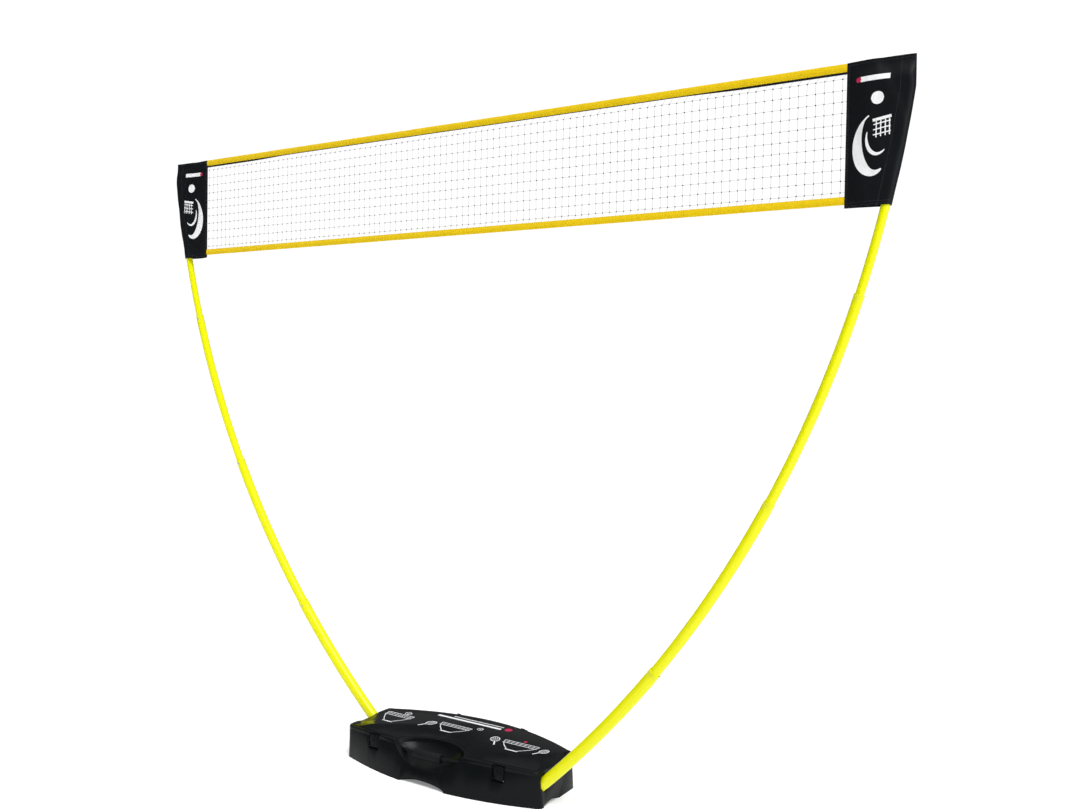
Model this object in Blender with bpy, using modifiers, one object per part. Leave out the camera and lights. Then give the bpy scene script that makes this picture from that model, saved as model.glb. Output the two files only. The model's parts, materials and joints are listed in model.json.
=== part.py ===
"""Portable net stand: a net held by two bowed telescopic poles that stand in a flat carrying case.

World frame: metres, +Z up, origin on the ground under the middle of the case, +X along the net.
The right pole's foot stands in the front of the case (-Y) and the left pole's in the rear (+Y).
Each pole lies in an upright plane that turns slightly towards the net, so that both tips meet it,
and the two poles are the same part turned half a turn about Z.
"""

from math import asin, atan2, cos, pi, radians, sin, sqrt

import bmesh
import bpy
from mathutils import Matrix, Vector

# ---------------------------------------------------------------- driving dimensions (metres)
GAP = 0.0003                    # room left between pieces that touch

# Poles: every section follows one circle, so that each slides inside the one below it
ARC_RADIUS = 3.584
ARC_X = -2.059                  # circle centre of the right pole
ARC_Z = 2.677
LANE = 0.0913                   # distance of each pole's plane from the Z axis
FOOT_Z = 0.024                  # height of the pole's lower end, on its centre line
SECTION = 0.649                 # length that each of the three lower sections shows
INSERT = 0.13                   # length that a section reaches into the one below
TIP_Z = 2.215                   # height of the upper end of the top section
TUBE_DIAMETERS = (0.040, 0.035, 0.030, 0.025)
TUBE_WALL = 0.0019
TUBE_SIDES = 20
TUBE_STEP = 0.07                # longest straight stretch of a bent tube

# Snap buttons, one just below each rim, with the leaf wire that pushes it out
BUTTON_DROP = 0.018
BUTTON_RADIUS = 0.004
BUTTON_PROUD = 0.0022
BUTTON_FLANGE = 0.0052
BUTTON_PLAY = 0.0004
FLANGE_THICK = 0.0014
SPRING_WIRE = 0.0007
SPRING_LEG = 0.045
SPRING_START = 0.005            # leg's end past the button
SPRING_SPREAD = 0.003           # half the width of the wire's bend
SPRING_TURN = 0.8               # share of the leg at which the bend starts
BUTTON_FLAT = 0.6               # share of the button's radius that is flat on top
BUTTON_CROWN = 0.0003
BUTTON_SHOULDER = 0.0012
BUTTON_HOLE = 0.04              # how far a button hole is cut outwards

# Net
NET_TOP = 2.3005
NET_BOTTOM = 1.895
PANEL_INNER = 1.3285            # half the length between the two end panels
PANEL_BEYOND = 0.0155           # end panel's outer edge beyond the pole's centre line
PANEL_HALF_DEPTH = 0.0180
PANEL_WALL = 0.0015
PANEL_SEAM = 0.004              # sewn strip along the pocket's inner edge
PANEL_HEAD = 0.025              # sewn strip above the pocket
TAPE_HEIGHT = 0.0230
TAPE_DEPTH = 0.0080
TAPE_WALL = 0.0010
BOTTOM_TAPE_LIFT = 0.0100       # bottom tape's lower edge above the panels' lower edge
BINDING_HEIGHT = 0.0065
BINDING_DEPTH = 0.0040
MESH_DEPTH = 0.0030
CORD_RADIUS = 0.0020
CORD_SHORT = 0.0020             # how far each cord ends inside its tape

# Carrying case
CASE_HALF_LENGTH = 0.412
CASE_FOOT_FLARE = 0.008         # how much longer each half is at the ground
CASE_TOP = 0.1080               # rim of the base
LID_TOP = 0.1210
WALL = 0.003
FLOOR = 0.003
CORNER = 0.022
FRONT_END = -0.108              # front edge at the corners and in the middle, at the rim
FRONT_MIDDLE = -0.132
FRONT_END_FOOT = -0.102         # and at the ground
FRONT_MIDDLE_FOOT = -0.172
BACK_END = 0.132
BACK_MIDDLE = 0.231
LID_EDGE = 0.0025               # chamfer around the lid's top
PANEL_INSET = 0.014             # printed panel's margin on the lid
PRINT_THICK = 0.0008
PRINT_SCOOP_ROOM = 0.010        # printed panel's margin at the scoop
PRINT_FACET_ROOM = 0.002        # and at the dips

# Hand scoop in the middle of the front, with the grip across it
SCOOP_X = -0.022
SCOOP_Y = -0.150
SCOOP_Z = 0.165
SCOOP_RADII = (0.165, 0.118, 0.116)
GRIP_Y = -0.128
GRIP_Z = 0.0925
BAR_RADIUS = 0.006
GRIP_LENGTH = 0.112
GRIP_RADIUS = 0.0170
BAR_REACH = 0.158               # half the bar's length, through the scoop's walls
BAR_BOW = 0.020                 # how far back the bar's ends lie behind its middle
BAR_HOLE_REACH = 1.05           # share of the bar's reach that its holes are cut to
GRIP_BORE_REACH = 1.2           # share of the grip's length that its bore is cut to

# Latches, one near each end of the front
LATCH_X = 0.268
LATCH_WIDTH = 0.040
LATCH_ROOM = 0.004              # on each side of a latch in its recess
POCKET_BACK = -0.1140
POCKET_FLOOR = 0.0660
POCKET_FRONT = -0.30
POCKET_RISE = 0.05              # how far above the lid the recess is cut
LATCH_THICK = 0.0045
LATCH_PIN = 0.0018
LATCH_PIN_Z = 0.0725
LATCH_PIN_Y = -0.1200
LATCH_HEIGHT = 0.0440
NIB_DEPTH = 0.0050
NIB_Z = 0.1140
NIB_THICK = 0.0024
NIB_WIDTH = 0.0220
NIB_SLOPE = 0.0008
NIB_ROOM = 0.0010               # above and below the nib in the lid's slot
NIB_SIDE_ROOM = 0.0020
LATCH_FOOT = 0.0040             # radius of the latch's foot around its pin
LATCH_EASE = 0.0010
PIN_REACH = 0.0020              # the pin hole's depth into each side of the recess
PIN_END_ROOM = 0.0005
PIN_PLAY = 0.00025

# Lid hinges at the back
HINGE_X = 0.120
HINGE_AXIS_Y = 0.2390
HINGE_AXIS_Z = 0.1040
HINGE_PIN = 0.0022
HINGE_BARREL = 0.0058
HINGE_LEAF = 0.0035
BARREL_LENGTH = 0.016
HINGE_BRIDGE = 0.0030           # the web between leaf and barrel, above and below the pin
HINGE_LEAF_LOW = 0.0780
BRIDGE_INSET = 0.0001           # web's ends inside the leaf's ends
BRIDGE_START = 0.0010           # web's start inside the leaf

# Sockets that hold the pole feet inside the case
SOCKET_START = 0.318
SOCKET_END = 0.390
SOCKET_HALF_WIDTH = 0.027
SOCKET_TOP = 0.098
SOCKET_PLAY = 0.0004

# Foot plug and tip cap
PLUG_REACH = 0.0160
PLUG_FLANGE = 0.0040
PLUG_EASE = 0.0005
PLUG_EDGE = 0.0010
CAP_SKIRT = 0.0040
CAP_RISE = 0.0100

# Opening in each end wall for the pole, as angles past the foot and heights
EXIT_ROOM = 0.0035
EXIT_START = 0.006
EXIT_STOP = 0.060
EXIT_LOW = 0.0640
EXIT_CLEAR = 0.030

# How far cuts run past the faces that they open
CUT_OVER = 0.010
HOLLOW_OVER = 0.020
PIN_HOLE_OVER = 0.002

# Low arches in the case's lower edge, as the half sizes of rounded cuts
FRONT_ARCH_Y = -0.190
FRONT_ARCH = (0.105, 0.068, 0.020)
END_ARCH_BEYOND = 0.018         # middle of the cut beyond the end of the case
END_ARCH_SHIFT = 0.030
END_ARCH = (0.030, 0.052, 0.013)

# Three-sided dip in the lid over each pole opening, for the right end
FACET_REACH = 0.060
FACET_SLOPE = 0.010
FACET_DEPTH = 0.0065
FACET_OVER = 0.004
FACET_TIP_Y = 0.015
FACET_REAR_Y = 0.088
FACET_FRONT_Y = -0.100
FACET_HALF_FLOOR = 0.030

# ---------------------------------------------------------------- values worked out from them
POLE_TURN = atan2(LANE, ARC_X + sqrt(ARC_RADIUS ** 2 - (TIP_Z - ARC_Z) ** 2))
FOOT_ANGLE = asin((FOOT_Z - ARC_Z) / ARC_RADIUS)
TIP_ANGLE = asin((TIP_Z - ARC_Z) / ARC_RADIUS)
RIM_ANGLES = tuple(FOOT_ANGLE + (k + 1) * SECTION / ARC_RADIUS for k in range(3))
LATCH_POCKET = LATCH_WIDTH + 2 * LATCH_ROOM
SIDES = (("left", -1), ("right", 1))

COLOURS = {
    "case_plastic": ((0.012, 0.013, 0.014), 0.35, 0.0),
    "lid_print": ((0.010, 0.011, 0.012), 0.15, 0.0),
    "pole_yellow": ((0.83, 0.75, 0.02), 0.3, 0.0),
    "tape_yellow": ((0.80, 0.52, 0.01), 0.75, 0.0),
    "net_twine": ((0.03, 0.035, 0.03), 0.8, 0.0),
    "panel_fabric": ((0.012, 0.014, 0.018), 0.85, 0.0),
    "grip_rubber": ((0.02, 0.02, 0.02), 0.6, 0.0),
    "black_nylon": ((0.015, 0.015, 0.016), 0.45, 0.0),
    "steel": ((0.55, 0.55, 0.56), 0.3, 1.0),
}


# ---------------------------------------------------------------- scene helpers
def clear_scene():
    for item in list(bpy.data.objects):
        bpy.data.objects.remove(item, do_unlink=True)


def make_collection(name):
    group = bpy.data.collections.new(name)
    bpy.context.scene.collection.children.link(group)
    return group


def make_material(name):
    colour, roughness, metallic = COLOURS[name]
    finish = bpy.data.materials.new(name)
    finish.use_nodes = True
    shader = finish.node_tree.nodes["Principled BSDF"]
    shader.inputs["Base Color"].default_value = (*colour, 1.0)
    shader.inputs["Roughness"].default_value = roughness
    shader.inputs["Metallic"].default_value = metallic
    return finish


def add_object(name, mesh, finish=None, parent=None):
    """Link a mesh as a part, or as a hidden cutter when it has no finish."""
    item = bpy.data.objects.new(name, mesh)
    (PARTS if finish else CUTTERS).objects.link(item)
    item.parent = parent
    if finish:
        mesh.materials.clear()
        mesh.materials.append(make_material(finish))
    else:
        item.hide_render = True
        item.display_type = "WIRE"
    return item


def add_empty(name, place, turn=0.0):
    guide = bpy.data.objects.new(name, None)
    CUTTERS.objects.link(guide)
    guide.location = place
    guide.rotation_euler = (0.0, 0.0, turn)
    return guide


def mesh_from(name, build):
    work = bmesh.new()
    build(work)
    mesh = bpy.data.meshes.new(name)
    work.to_mesh(mesh)
    work.free()
    return mesh


def mesh_from_curve(name, curve):
    """A curve's solid as a mesh whose caps are welded on."""
    item = bpy.data.objects.new(name, curve)
    bpy.context.scene.collection.objects.link(item)
    graph = bpy.context.evaluated_depsgraph_get()
    mesh = bpy.data.meshes.new_from_object(item.evaluated_get(graph))
    bpy.data.objects.remove(item)
    bpy.data.curves.remove(curve)
    work = bmesh.new()
    work.from_mesh(mesh)
    bmesh.ops.remove_doubles(work, verts=work.verts, dist=1e-6)
    bmesh.ops.recalc_face_normals(work, faces=work.faces)
    work.to_mesh(mesh)
    work.free()
    mesh.name = name
    return mesh


def combine(item, other, operation="DIFFERENCE"):
    step = item.modifiers.new(f"{operation.lower()} {other.name}", "BOOLEAN")
    step.operation = operation
    step.object = other
    step.solver = "EXACT"


def shade(item, angle=35.0):
    item.data.shade_smooth()
    item.data.set_sharp_from_angle(angle=radians(angle))


# ---------------------------------------------------------------- shapes
def box_mesh(name, low, high):
    size = Vector(high) - Vector(low)
    middle = (Vector(high) + Vector(low)) / 2

    def build(work):
        place = Matrix.Translation(middle) @ Matrix.Diagonal((*size, 1.0))
        bmesh.ops.create_cube(work, size=1.0, matrix=place)

    return mesh_from(name, build)


def ball_mesh(name, middle, radii):
    def build(work):
        place = Matrix.Translation(middle) @ Matrix.Diagonal((*radii, 1.0))
        bmesh.ops.create_uvsphere(work, u_segments=48, v_segments=24, radius=1.0, matrix=place)

    return mesh_from(name, build)


def rod_mesh(name, start, end, radius, sides=24):
    """A straight cylinder from start to end."""
    start = Vector(start)
    along = Vector(end) - start
    turn = along.to_track_quat("Z", "Y").to_matrix().to_4x4()

    def build(work):
        place = Matrix.Translation(start + along / 2) @ turn
        bmesh.ops.create_cone(work, cap_ends=True, segments=sides, radius1=radius,
                              radius2=radius, depth=along.length, matrix=place)

    return mesh_from(name, build)


def path_mesh(name, points, radius, resolution=2):
    """A round wire or rod along a list of points."""
    curve = bpy.data.curves.new(name, "CURVE")
    curve.dimensions = "3D"
    curve.bevel_depth = radius
    curve.bevel_resolution = resolution
    curve.use_fill_caps = True
    line = curve.splines.new("POLY")
    line.points.add(len(points) - 1)
    for spot, point in zip(line.points, points):
        spot.co = (*point, 1.0)
    return mesh_from_curve(name, curve)


def plate_mesh(name, outline, thickness):
    """A flat outline in XY, thickened evenly about its plane."""
    curve = bpy.data.curves.new(name, "CURVE")
    curve.dimensions = "2D"
    curve.fill_mode = "BOTH"
    curve.extrude = thickness / 2
    line = curve.splines.new("POLY")
    line.use_cyclic_u = True
    line.points.add(len(outline) - 1)
    for spot, (x, y) in zip(line.points, outline):
        spot.co = (x, y, 0.0, 1.0)
    return mesh_from_curve(name, curve)


def turned(name, profile, finish, parent=None, sides=24):
    """A turned piece about its own Z; profile is (radius, height) from the top to the bottom."""
    mesh = bpy.data.meshes.new(name)
    points = [(radius, 0.0, height) for radius, height in profile]
    mesh.from_pydata(points, [(i, i + 1) for i in range(len(points) - 1)], [])
    item = add_object(name, mesh, finish, parent)
    lathe = item.modifiers.new("lathe", "SCREW")
    lathe.steps = sides
    lathe.render_steps = sides
    lathe.use_merge_vertices = True
    lathe.merge_threshold = 0.00001
    return item


def loft_mesh(name, rings):
    """A closed solid through rings that have the same number of points."""
    def build(work):
        rows = [[work.verts.new(point) for point in ring] for ring in rings]
        count = len(rows[0])
        for low, high in zip(rows, rows[1:]):
            for i in range(count):
                j = (i + 1) % count
                work.faces.new((low[i], low[j], high[j], high[i]))
        work.faces.new(list(reversed(rows[0])))
        work.faces.new(rows[-1])
        bmesh.ops.recalc_face_normals(work, faces=work.faces)
        bmesh.ops.triangulate(work, faces=work.faces)

    return mesh_from(name, build)


def hull_mesh(name, points):
    def build(work):
        corners = [work.verts.new(point) for point in points]
        bmesh.ops.convex_hull(work, input=corners)
        bmesh.ops.recalc_face_normals(work, faces=work.faces)

    return mesh_from(name, build)


def cutter(name, mesh, parent=None):
    return add_object(f"cut_{name}", mesh, None, parent)


# ---------------------------------------------------------------- the poles
def arc_point(angle, side_step=0.0, rise=0.0):
    """A point beside the pole's centre line, in the frame of the circle's centre."""
    reach = ARC_RADIUS + rise
    return Vector((reach * cos(angle), side_step, reach * sin(angle)))


def bent_rod_mesh(name, radius, start, end, sides=TUBE_SIDES):
    steps = max(2, round(ARC_RADIUS * (end - start) / TUBE_STEP))
    points = [arc_point(start + (end - start) * i / steps) for i in range(steps + 1)]
    return path_mesh(name, points, radius, (sides - 4) // 2)


def section_angles(k):
    """Where section k of a pole starts and ends."""
    start = FOOT_ANGLE if k == 0 else RIM_ANGLES[k - 1] - INSERT / ARC_RADIUS
    end = TIP_ANGLE if k == 3 else RIM_ANGLES[k]
    return start, end


def button_angle(k):
    return RIM_ANGLES[k] - BUTTON_DROP / ARC_RADIUS


def side_hole(name, k, radius, parent):
    middle = arc_point(button_angle(k))
    return cutter(name, rod_mesh(name, middle, middle + Vector((0, BUTTON_HOLE, 0)), radius), parent)


def make_tube(side, k, axis):
    name = f"{side}_tube_{k + 1}"
    outside = TUBE_DIAMETERS[k] / 2
    start, end = section_angles(k)
    over = CUT_OVER / ARC_RADIUS
    tube = add_object(name, bent_rod_mesh(name, outside, start, end), "pole_yellow", axis)
    bore_mesh = bent_rod_mesh(name, outside - TUBE_WALL, start - over, end + over)
    combine(tube, cutter(f"{name}_bore", bore_mesh, axis))
    if k < 3:
        combine(tube, side_hole(f"{name}_rim_hole", k, BUTTON_RADIUS + BUTTON_PLAY, axis))
    if k > 0:
        combine(tube, side_hole(f"{name}_lower_hole", k - 1, BUTTON_RADIUS + BUTTON_PLAY, axis))
    return tube


def make_button(side, k, axis):
    """The button sits in section k + 1 and shows through the rim of section k."""
    bore = TUBE_DIAMETERS[k + 1] / 2 - TUBE_WALL
    top = TUBE_DIAMETERS[k] / 2 + BUTTON_PROUD
    flange = sqrt(bore ** 2 - BUTTON_FLANGE ** 2) - 2 * GAP
    profile = [(0.0, top), (BUTTON_RADIUS * BUTTON_FLAT, top - BUTTON_CROWN),
               (BUTTON_RADIUS, top - BUTTON_SHOULDER),
               (BUTTON_RADIUS, flange), (BUTTON_FLANGE, flange),
               (BUTTON_FLANGE, flange - FLANGE_THICK), (0.0, flange - FLANGE_THICK)]
    button = turned(f"{side}_button_{k + 1}", profile, "steel", axis, TUBE_SIDES)
    button.location = arc_point(button_angle(k))
    button.rotation_euler = (-pi / 2, 0.0, 0.0)
    low = flange - FLANGE_THICK - SPRING_WIRE - GAP
    far = bore - SPRING_WIRE - 2 * GAP
    turn = SPRING_LEG * SPRING_TURN
    spots = ((SPRING_START, low), (-turn, SPRING_SPREAD), (-SPRING_LEG, 0.0),
             (-turn, -SPRING_SPREAD), (SPRING_START, -far))
    line = [arc_point(button_angle(k) + along / ARC_RADIUS, across) for along, across in spots]
    spring = path_mesh(f"{side}_button_spring_{k + 1}", line, SPRING_WIRE)
    add_object(f"{side}_button_spring_{k + 1}", spring, "steel", axis)


def make_end_plugs(side, axis):
    """The foot plug under the lowest section and the round cap on the tip."""
    outside = TUBE_DIAMETERS[0] / 2
    bore = outside - TUBE_WALL - GAP
    foot = turned(f"{side}_foot_plug",
                  [(0.0, PLUG_REACH), (bore - 3 * PLUG_EASE, PLUG_REACH),
                   (bore - PLUG_EASE, PLUG_REACH - 3 * PLUG_EASE), (bore - PLUG_EASE, -GAP),
                   (outside, -GAP), (outside, PLUG_EDGE - PLUG_FLANGE),
                   (outside - PLUG_EDGE, -PLUG_FLANGE), (0.0, -PLUG_FLANGE)],
                  "black_nylon", axis)
    foot.location = arc_point(FOOT_ANGLE)
    foot.rotation_euler = (0.0, -FOOT_ANGLE, 0.0)
    tip_out = TUBE_DIAMETERS[3] / 2
    tip_in = tip_out - TUBE_WALL - 2 * GAP
    dome = [(tip_out * sin(a), GAP + CAP_SKIRT + CAP_RISE * cos(a))
            for a in (i * pi / 16 for i in range(9))]
    cap = turned(f"{side}_tip_cap", [(0.0, dome[0][1])] + dome[1:] +
                 [(tip_out, GAP), (tip_in, GAP), (tip_in, -PLUG_REACH), (0.0, -PLUG_REACH)],
                 "black_nylon", axis, TUBE_SIDES)
    cap.location = arc_point(TIP_ANGLE)
    cap.rotation_euler = (0.0, -TIP_ANGLE, 0.0)


def make_socket(side, axis):
    """A moulded block in the case with a blind bent bore for the pole's foot."""
    centre_x = -ARC_X
    low = (centre_x + SOCKET_START, -SOCKET_HALF_WIDTH, FLOOR + GAP - ARC_Z)
    high = (centre_x + SOCKET_END, SOCKET_HALF_WIDTH, SOCKET_TOP - ARC_Z)
    name = f"{side}_pole_socket"
    block = add_object(name, box_mesh(name, low, high), "black_nylon", axis)
    bottom = FOOT_ANGLE - (PLUG_FLANGE + 2 * GAP) / ARC_RADIUS
    hole = bent_rod_mesh(name, TUBE_DIAMETERS[0] / 2 + SOCKET_PLAY, bottom, FOOT_ANGLE + EXIT_STOP)
    combine(block, cutter(f"{name}_bore", hole, axis))
    for i, mesh in enumerate(arch_meshes(WALL + 2 * GAP)):
        combine(block, cutter(f"{name}_arch_{i}", mesh))


def make_poles():
    for side, sign in SIDES:
        turn = POLE_TURN if sign > 0 else POLE_TURN + pi
        place = Matrix.Rotation(turn, 3, "Z") @ Vector((ARC_X, -LANE, ARC_Z))
        axis = add_empty(f"{side}_pole_axis", place, turn)
        for k in range(4):
            shade(make_tube(side, k, axis))
        for k in range(3):
            make_button(side, k, axis)
        make_end_plugs(side, axis)
        make_socket(side, axis)


# ---------------------------------------------------------------- the net
def pole_reach(height):
    """Distance of the pole's centre line from the middle of the net, at a height."""
    in_plane = ARC_X + sqrt(ARC_RADIUS ** 2 - (height - ARC_Z) ** 2)
    return in_plane * cos(POLE_TURN) + LANE * sin(POLE_TURN)


def panel_outline(inner, beyond, low, high):
    """The end panel in the net's XZ plane; its outer edge follows the pole up to its tip."""
    steps = 8
    heights = [low + (high - low) * i / steps for i in range(steps + 1)]
    outer = [(pole_reach(min(z, TIP_Z)) + beyond, z) for z in heights]
    return [(inner, low)] + outer + [(inner, high)]


def upright_plate(name, outline, depth):
    mesh = plate_mesh(name, outline, depth)
    mesh.transform(Matrix.Rotation(pi / 2, 4, "X"))
    return mesh


def make_end_panel(side, sign):
    """A sewn pocket, open below, that slips over the pole's tip."""
    name = f"{side}_end_panel"
    outline = panel_outline(PANEL_INNER, PANEL_BEYOND, NET_BOTTOM, NET_TOP)
    inside = panel_outline(PANEL_INNER + PANEL_SEAM, PANEL_BEYOND - PANEL_WALL,
                           NET_BOTTOM - HOLLOW_OVER, NET_TOP - PANEL_HEAD)
    turn = add_empty(f"{side}_panel_axis", (0, 0, 0), 0.0 if sign > 0 else pi)
    mesh = upright_plate(name, outline, 2 * PANEL_HALF_DEPTH)
    panel = add_object(name, mesh, "panel_fabric", turn)
    hollow = upright_plate(name, inside, 2 * (PANEL_HALF_DEPTH - PANEL_WALL))
    combine(panel, cutter(f"{name}_pocket", hollow, turn))


def make_tape(name, low):
    """A folded band with the cord running through it."""
    reach = PANEL_INNER - GAP
    half = TAPE_DEPTH / 2
    high = low + TAPE_HEIGHT
    band_mesh = box_mesh(name, (-reach, -half, low), (reach, half, high))
    band = add_object(f"{name}_tape", band_mesh, "tape_yellow")
    inner = half - TAPE_WALL
    hole = box_mesh(name, (-reach - CUT_OVER, -inner, low + TAPE_WALL),
                    (reach + CUT_OVER, inner, high - TAPE_WALL))
    combine(band, cutter(f"{name}_tape_channel", hole))
    middle = (low + high) / 2
    end = reach - CORD_SHORT
    cord = rod_mesh(name, (-end, 0, middle), (end, 0, middle), CORD_RADIUS, 12)
    add_object(f"{name}_cord", cord, "net_twine")


def make_net():
    reach = PANEL_INNER - GAP
    top_low = NET_TOP - TAPE_HEIGHT
    bottom_low = NET_BOTTOM + BOTTOM_TAPE_LIFT
    make_tape("top", top_low)
    make_tape("bottom", bottom_low)
    binding_high = top_low - GAP
    binding_low = binding_high - BINDING_HEIGHT
    half = BINDING_DEPTH / 2
    add_object("top_binding",
               box_mesh("top_binding", (-reach, -half, binding_low), (reach, half, binding_high)),
               "panel_fabric")
    half = MESH_DEPTH / 2
    low = (-reach, -half, bottom_low + TAPE_HEIGHT + GAP)
    high = (reach, half, binding_low - GAP)
    add_object("net_mesh", box_mesh("net_mesh", low, high), "net_twine")
    for side, sign in SIDES:
        make_end_panel(side, sign)


# ---------------------------------------------------------------- the case
def case_ring(z, inset=0.0):
    """The case's outline at a height, moved inwards by inset, corners rounded."""
    share = 1.0 - z / LID_TOP
    end = CASE_HALF_LENGTH + CASE_FOOT_FLARE * share - inset
    front_end = FRONT_END + (FRONT_END_FOOT - FRONT_END) * share + inset
    front_middle = FRONT_MIDDLE + (FRONT_MIDDLE_FOOT - FRONT_MIDDLE) * share + inset
    back_end = BACK_END - inset
    back_middle = BACK_MIDDLE - inset
    radius = CORNER - inset
    straight = end - radius

    def bow(x, at_end, at_middle):
        return at_end + (at_middle - at_end) * (1.0 - (x / straight) ** 2)

    def corner(x_sign, y, y_sign, first):
        middle = Vector((x_sign * straight, y - y_sign * radius))
        angles = [radians(first + 90.0 * i / 5) for i in range(1, 5)]
        return [middle + radius * Vector((cos(a), sin(a))) for a in angles]

    steps = 20
    along = [-straight + 2 * straight * i / steps for i in range(steps + 1)]
    ring = [Vector((x, bow(x, front_end, front_middle))) for x in along]
    ring += corner(1, front_end, -1, 270) + [Vector((end, front_end + radius))]
    ring += [Vector((end, back_end - radius))] + corner(1, back_end, 1, 0)
    ring += [Vector((x, bow(x, back_end, back_middle))) for x in reversed(along)]
    ring += corner(-1, back_end, 1, 90) + [Vector((-end, back_end - radius))]
    ring += [Vector((-end, front_end + radius))] + corner(-1, front_end, -1, 180)
    return [(x, y, z) for x, y in ring]


def scoop_mesh(grow):
    radii = [r + grow for r in SCOOP_RADII]
    return ball_mesh("scoop", (SCOOP_X, SCOOP_Y, SCOOP_Z), radii)


def arch_meshes(grow):
    """Low arches in the lower edge: one under the scoop and one at each end."""
    front = ball_mesh("front_arch", (SCOOP_X, FRONT_ARCH_Y, 0.0), [r + grow for r in FRONT_ARCH])
    radii = [r + grow for r in END_ARCH]
    middle = CASE_HALF_LENGTH + END_ARCH_BEYOND
    ends = [ball_mesh("end_arch", (sign * middle, -sign * END_ARCH_SHIFT, 0.0), radii)
            for _, sign in SIDES]
    return [front] + ends


def pocket_mesh(sign, grow):
    """The recess that a latch lies in, open to the front and the top."""
    half = LATCH_POCKET / 2 + grow
    middle = sign * LATCH_X
    return box_mesh("pocket", (middle - half, POCKET_FRONT, POCKET_FLOOR - grow),
                    (middle + half, POCKET_BACK + grow, LID_TOP + POCKET_RISE))


def facet_mesh(sign, grow):
    """The three-sided dip in the lid above the opening for the pole."""
    top = LID_TOP + FACET_OVER
    end = CASE_HALF_LENGTH + FACET_OVER
    tip = CASE_HALF_LENGTH - FACET_REACH
    floor = LID_TOP - FACET_DEPTH - grow
    points = [(tip, FACET_TIP_Y, top), (end, FACET_REAR_Y, top), (end, FACET_FRONT_Y, top),
              (end, FACET_HALF_FLOOR, floor), (end, -FACET_HALF_FLOOR, floor),
              (tip + FACET_SLOPE, FACET_TIP_Y, LID_TOP - grow)]
    return hull_mesh("facet", [(sign * x, sign * y, z) for x, y, z in points])


def pole_exit_meshes(side, sign):
    """The notch in the end wall that the pole leaves through."""
    radius = TUBE_DIAMETERS[0] / 2 + EXIT_ROOM
    bend = bent_rod_mesh("exit", radius, FOOT_ANGLE + EXIT_START, FOOT_ANGLE + EXIT_STOP)
    wall = CASE_HALF_LENGTH - ARC_X
    notch = box_mesh("notch", (wall - 2 * WALL, -radius, EXIT_LOW - ARC_Z),
                     (wall + EXIT_CLEAR, radius, CASE_TOP + EXIT_CLEAR - ARC_Z))
    axis = bpy.data.objects[f"{side}_pole_axis"]
    return [cutter(f"{side}_exit_bend", bend, axis), cutter(f"{side}_exit_notch", notch, axis)]


def grip_point(x):
    """The carrying bar bows forwards across the scoop."""
    share = (x / BAR_REACH) ** 2
    return Vector((SCOOP_X + x, GRIP_Y + BAR_BOW * share, GRIP_Z))


def make_base():
    outer = loft_mesh("base_shell", [case_ring(0.0), case_ring(CASE_TOP)])
    base = add_object("base_shell", outer, "case_plastic")
    rings = [case_ring(FLOOR, WALL), case_ring(CASE_TOP + HOLLOW_OVER, WALL)]
    hollow = cutter("base_hollow", loft_mesh("base_hollow", rings))
    combine(hollow, cutter("scoop_inside", scoop_mesh(WALL)))
    for i, mesh in enumerate(arch_meshes(WALL)):
        combine(hollow, cutter(f"arch_inside_{i}", mesh))
    for side, sign in SIDES:
        combine(hollow, cutter(f"{side}_pocket_inside", pocket_mesh(sign, WALL)))
    combine(base, cutter("scoop_outside", scoop_mesh(0.0)))
    for i, mesh in enumerate(arch_meshes(0.0)):
        combine(base, cutter(f"arch_outside_{i}", mesh))
    for side, sign in SIDES:
        combine(base, cutter(f"{side}_pocket", pocket_mesh(sign, 0.0)))
    combine(base, hollow)
    for side, sign in SIDES:
        for piece in pole_exit_meshes(side, sign):
            combine(base, piece)
        reach = LATCH_POCKET / 2 + PIN_REACH
        hole = rod_mesh("pin_hole", (sign * LATCH_X - reach, LATCH_PIN_Y, LATCH_PIN_Z),
                        (sign * LATCH_X + reach, LATCH_PIN_Y, LATCH_PIN_Z), LATCH_PIN + PIN_PLAY)
        combine(base, cutter(f"{side}_latch_pin_hole", hole))
    spots = [grip_point(BAR_REACH * (i / 8 - 1) * BAR_HOLE_REACH) for i in range(17)]
    combine(base, cutter("bar_hole", path_mesh("bar_hole", spots, BAR_RADIUS + PIN_PLAY, 6)))


def make_lid():
    low = CASE_TOP + GAP
    rings = [case_ring(low), case_ring(LID_TOP - LID_EDGE), case_ring(LID_TOP, LID_EDGE)]
    lid = add_object("lid_shell", loft_mesh("lid_shell", rings), "case_plastic")
    rings = [case_ring(low - HOLLOW_OVER, WALL), case_ring(LID_TOP - WALL, WALL)]
    hollow = cutter("lid_hollow", loft_mesh("lid_hollow", rings))
    combine(hollow, cutter("lid_scoop_inside", scoop_mesh(WALL)))
    for side, sign in SIDES:
        combine(hollow, cutter(f"{side}_lid_pocket_inside", pocket_mesh(sign, WALL)))
        combine(hollow, cutter(f"{side}_lid_facet_inside", facet_mesh(sign, WALL)))
    combine(lid, cutter("lid_scoop", scoop_mesh(0.0)))
    combine(lid, hollow)
    for side, sign in SIDES:
        combine(lid, cutter(f"{side}_lid_pocket", pocket_mesh(sign, 0.0)))
        combine(lid, cutter(f"{side}_lid_facet", facet_mesh(sign, 0.0)))
        slot_half = NIB_WIDTH / 2 + NIB_SIDE_ROOM
        slot_rise = NIB_THICK / 2 + NIB_ROOM
        slot = box_mesh("nib_slot",
                        (sign * LATCH_X - slot_half, POCKET_BACK - 2 * NIB_DEPTH, NIB_Z - slot_rise),
                        (sign * LATCH_X + slot_half, POCKET_BACK + 2 * NIB_DEPTH, NIB_Z + slot_rise))
        combine(lid, cutter(f"{side}_nib_slot", slot))


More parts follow.
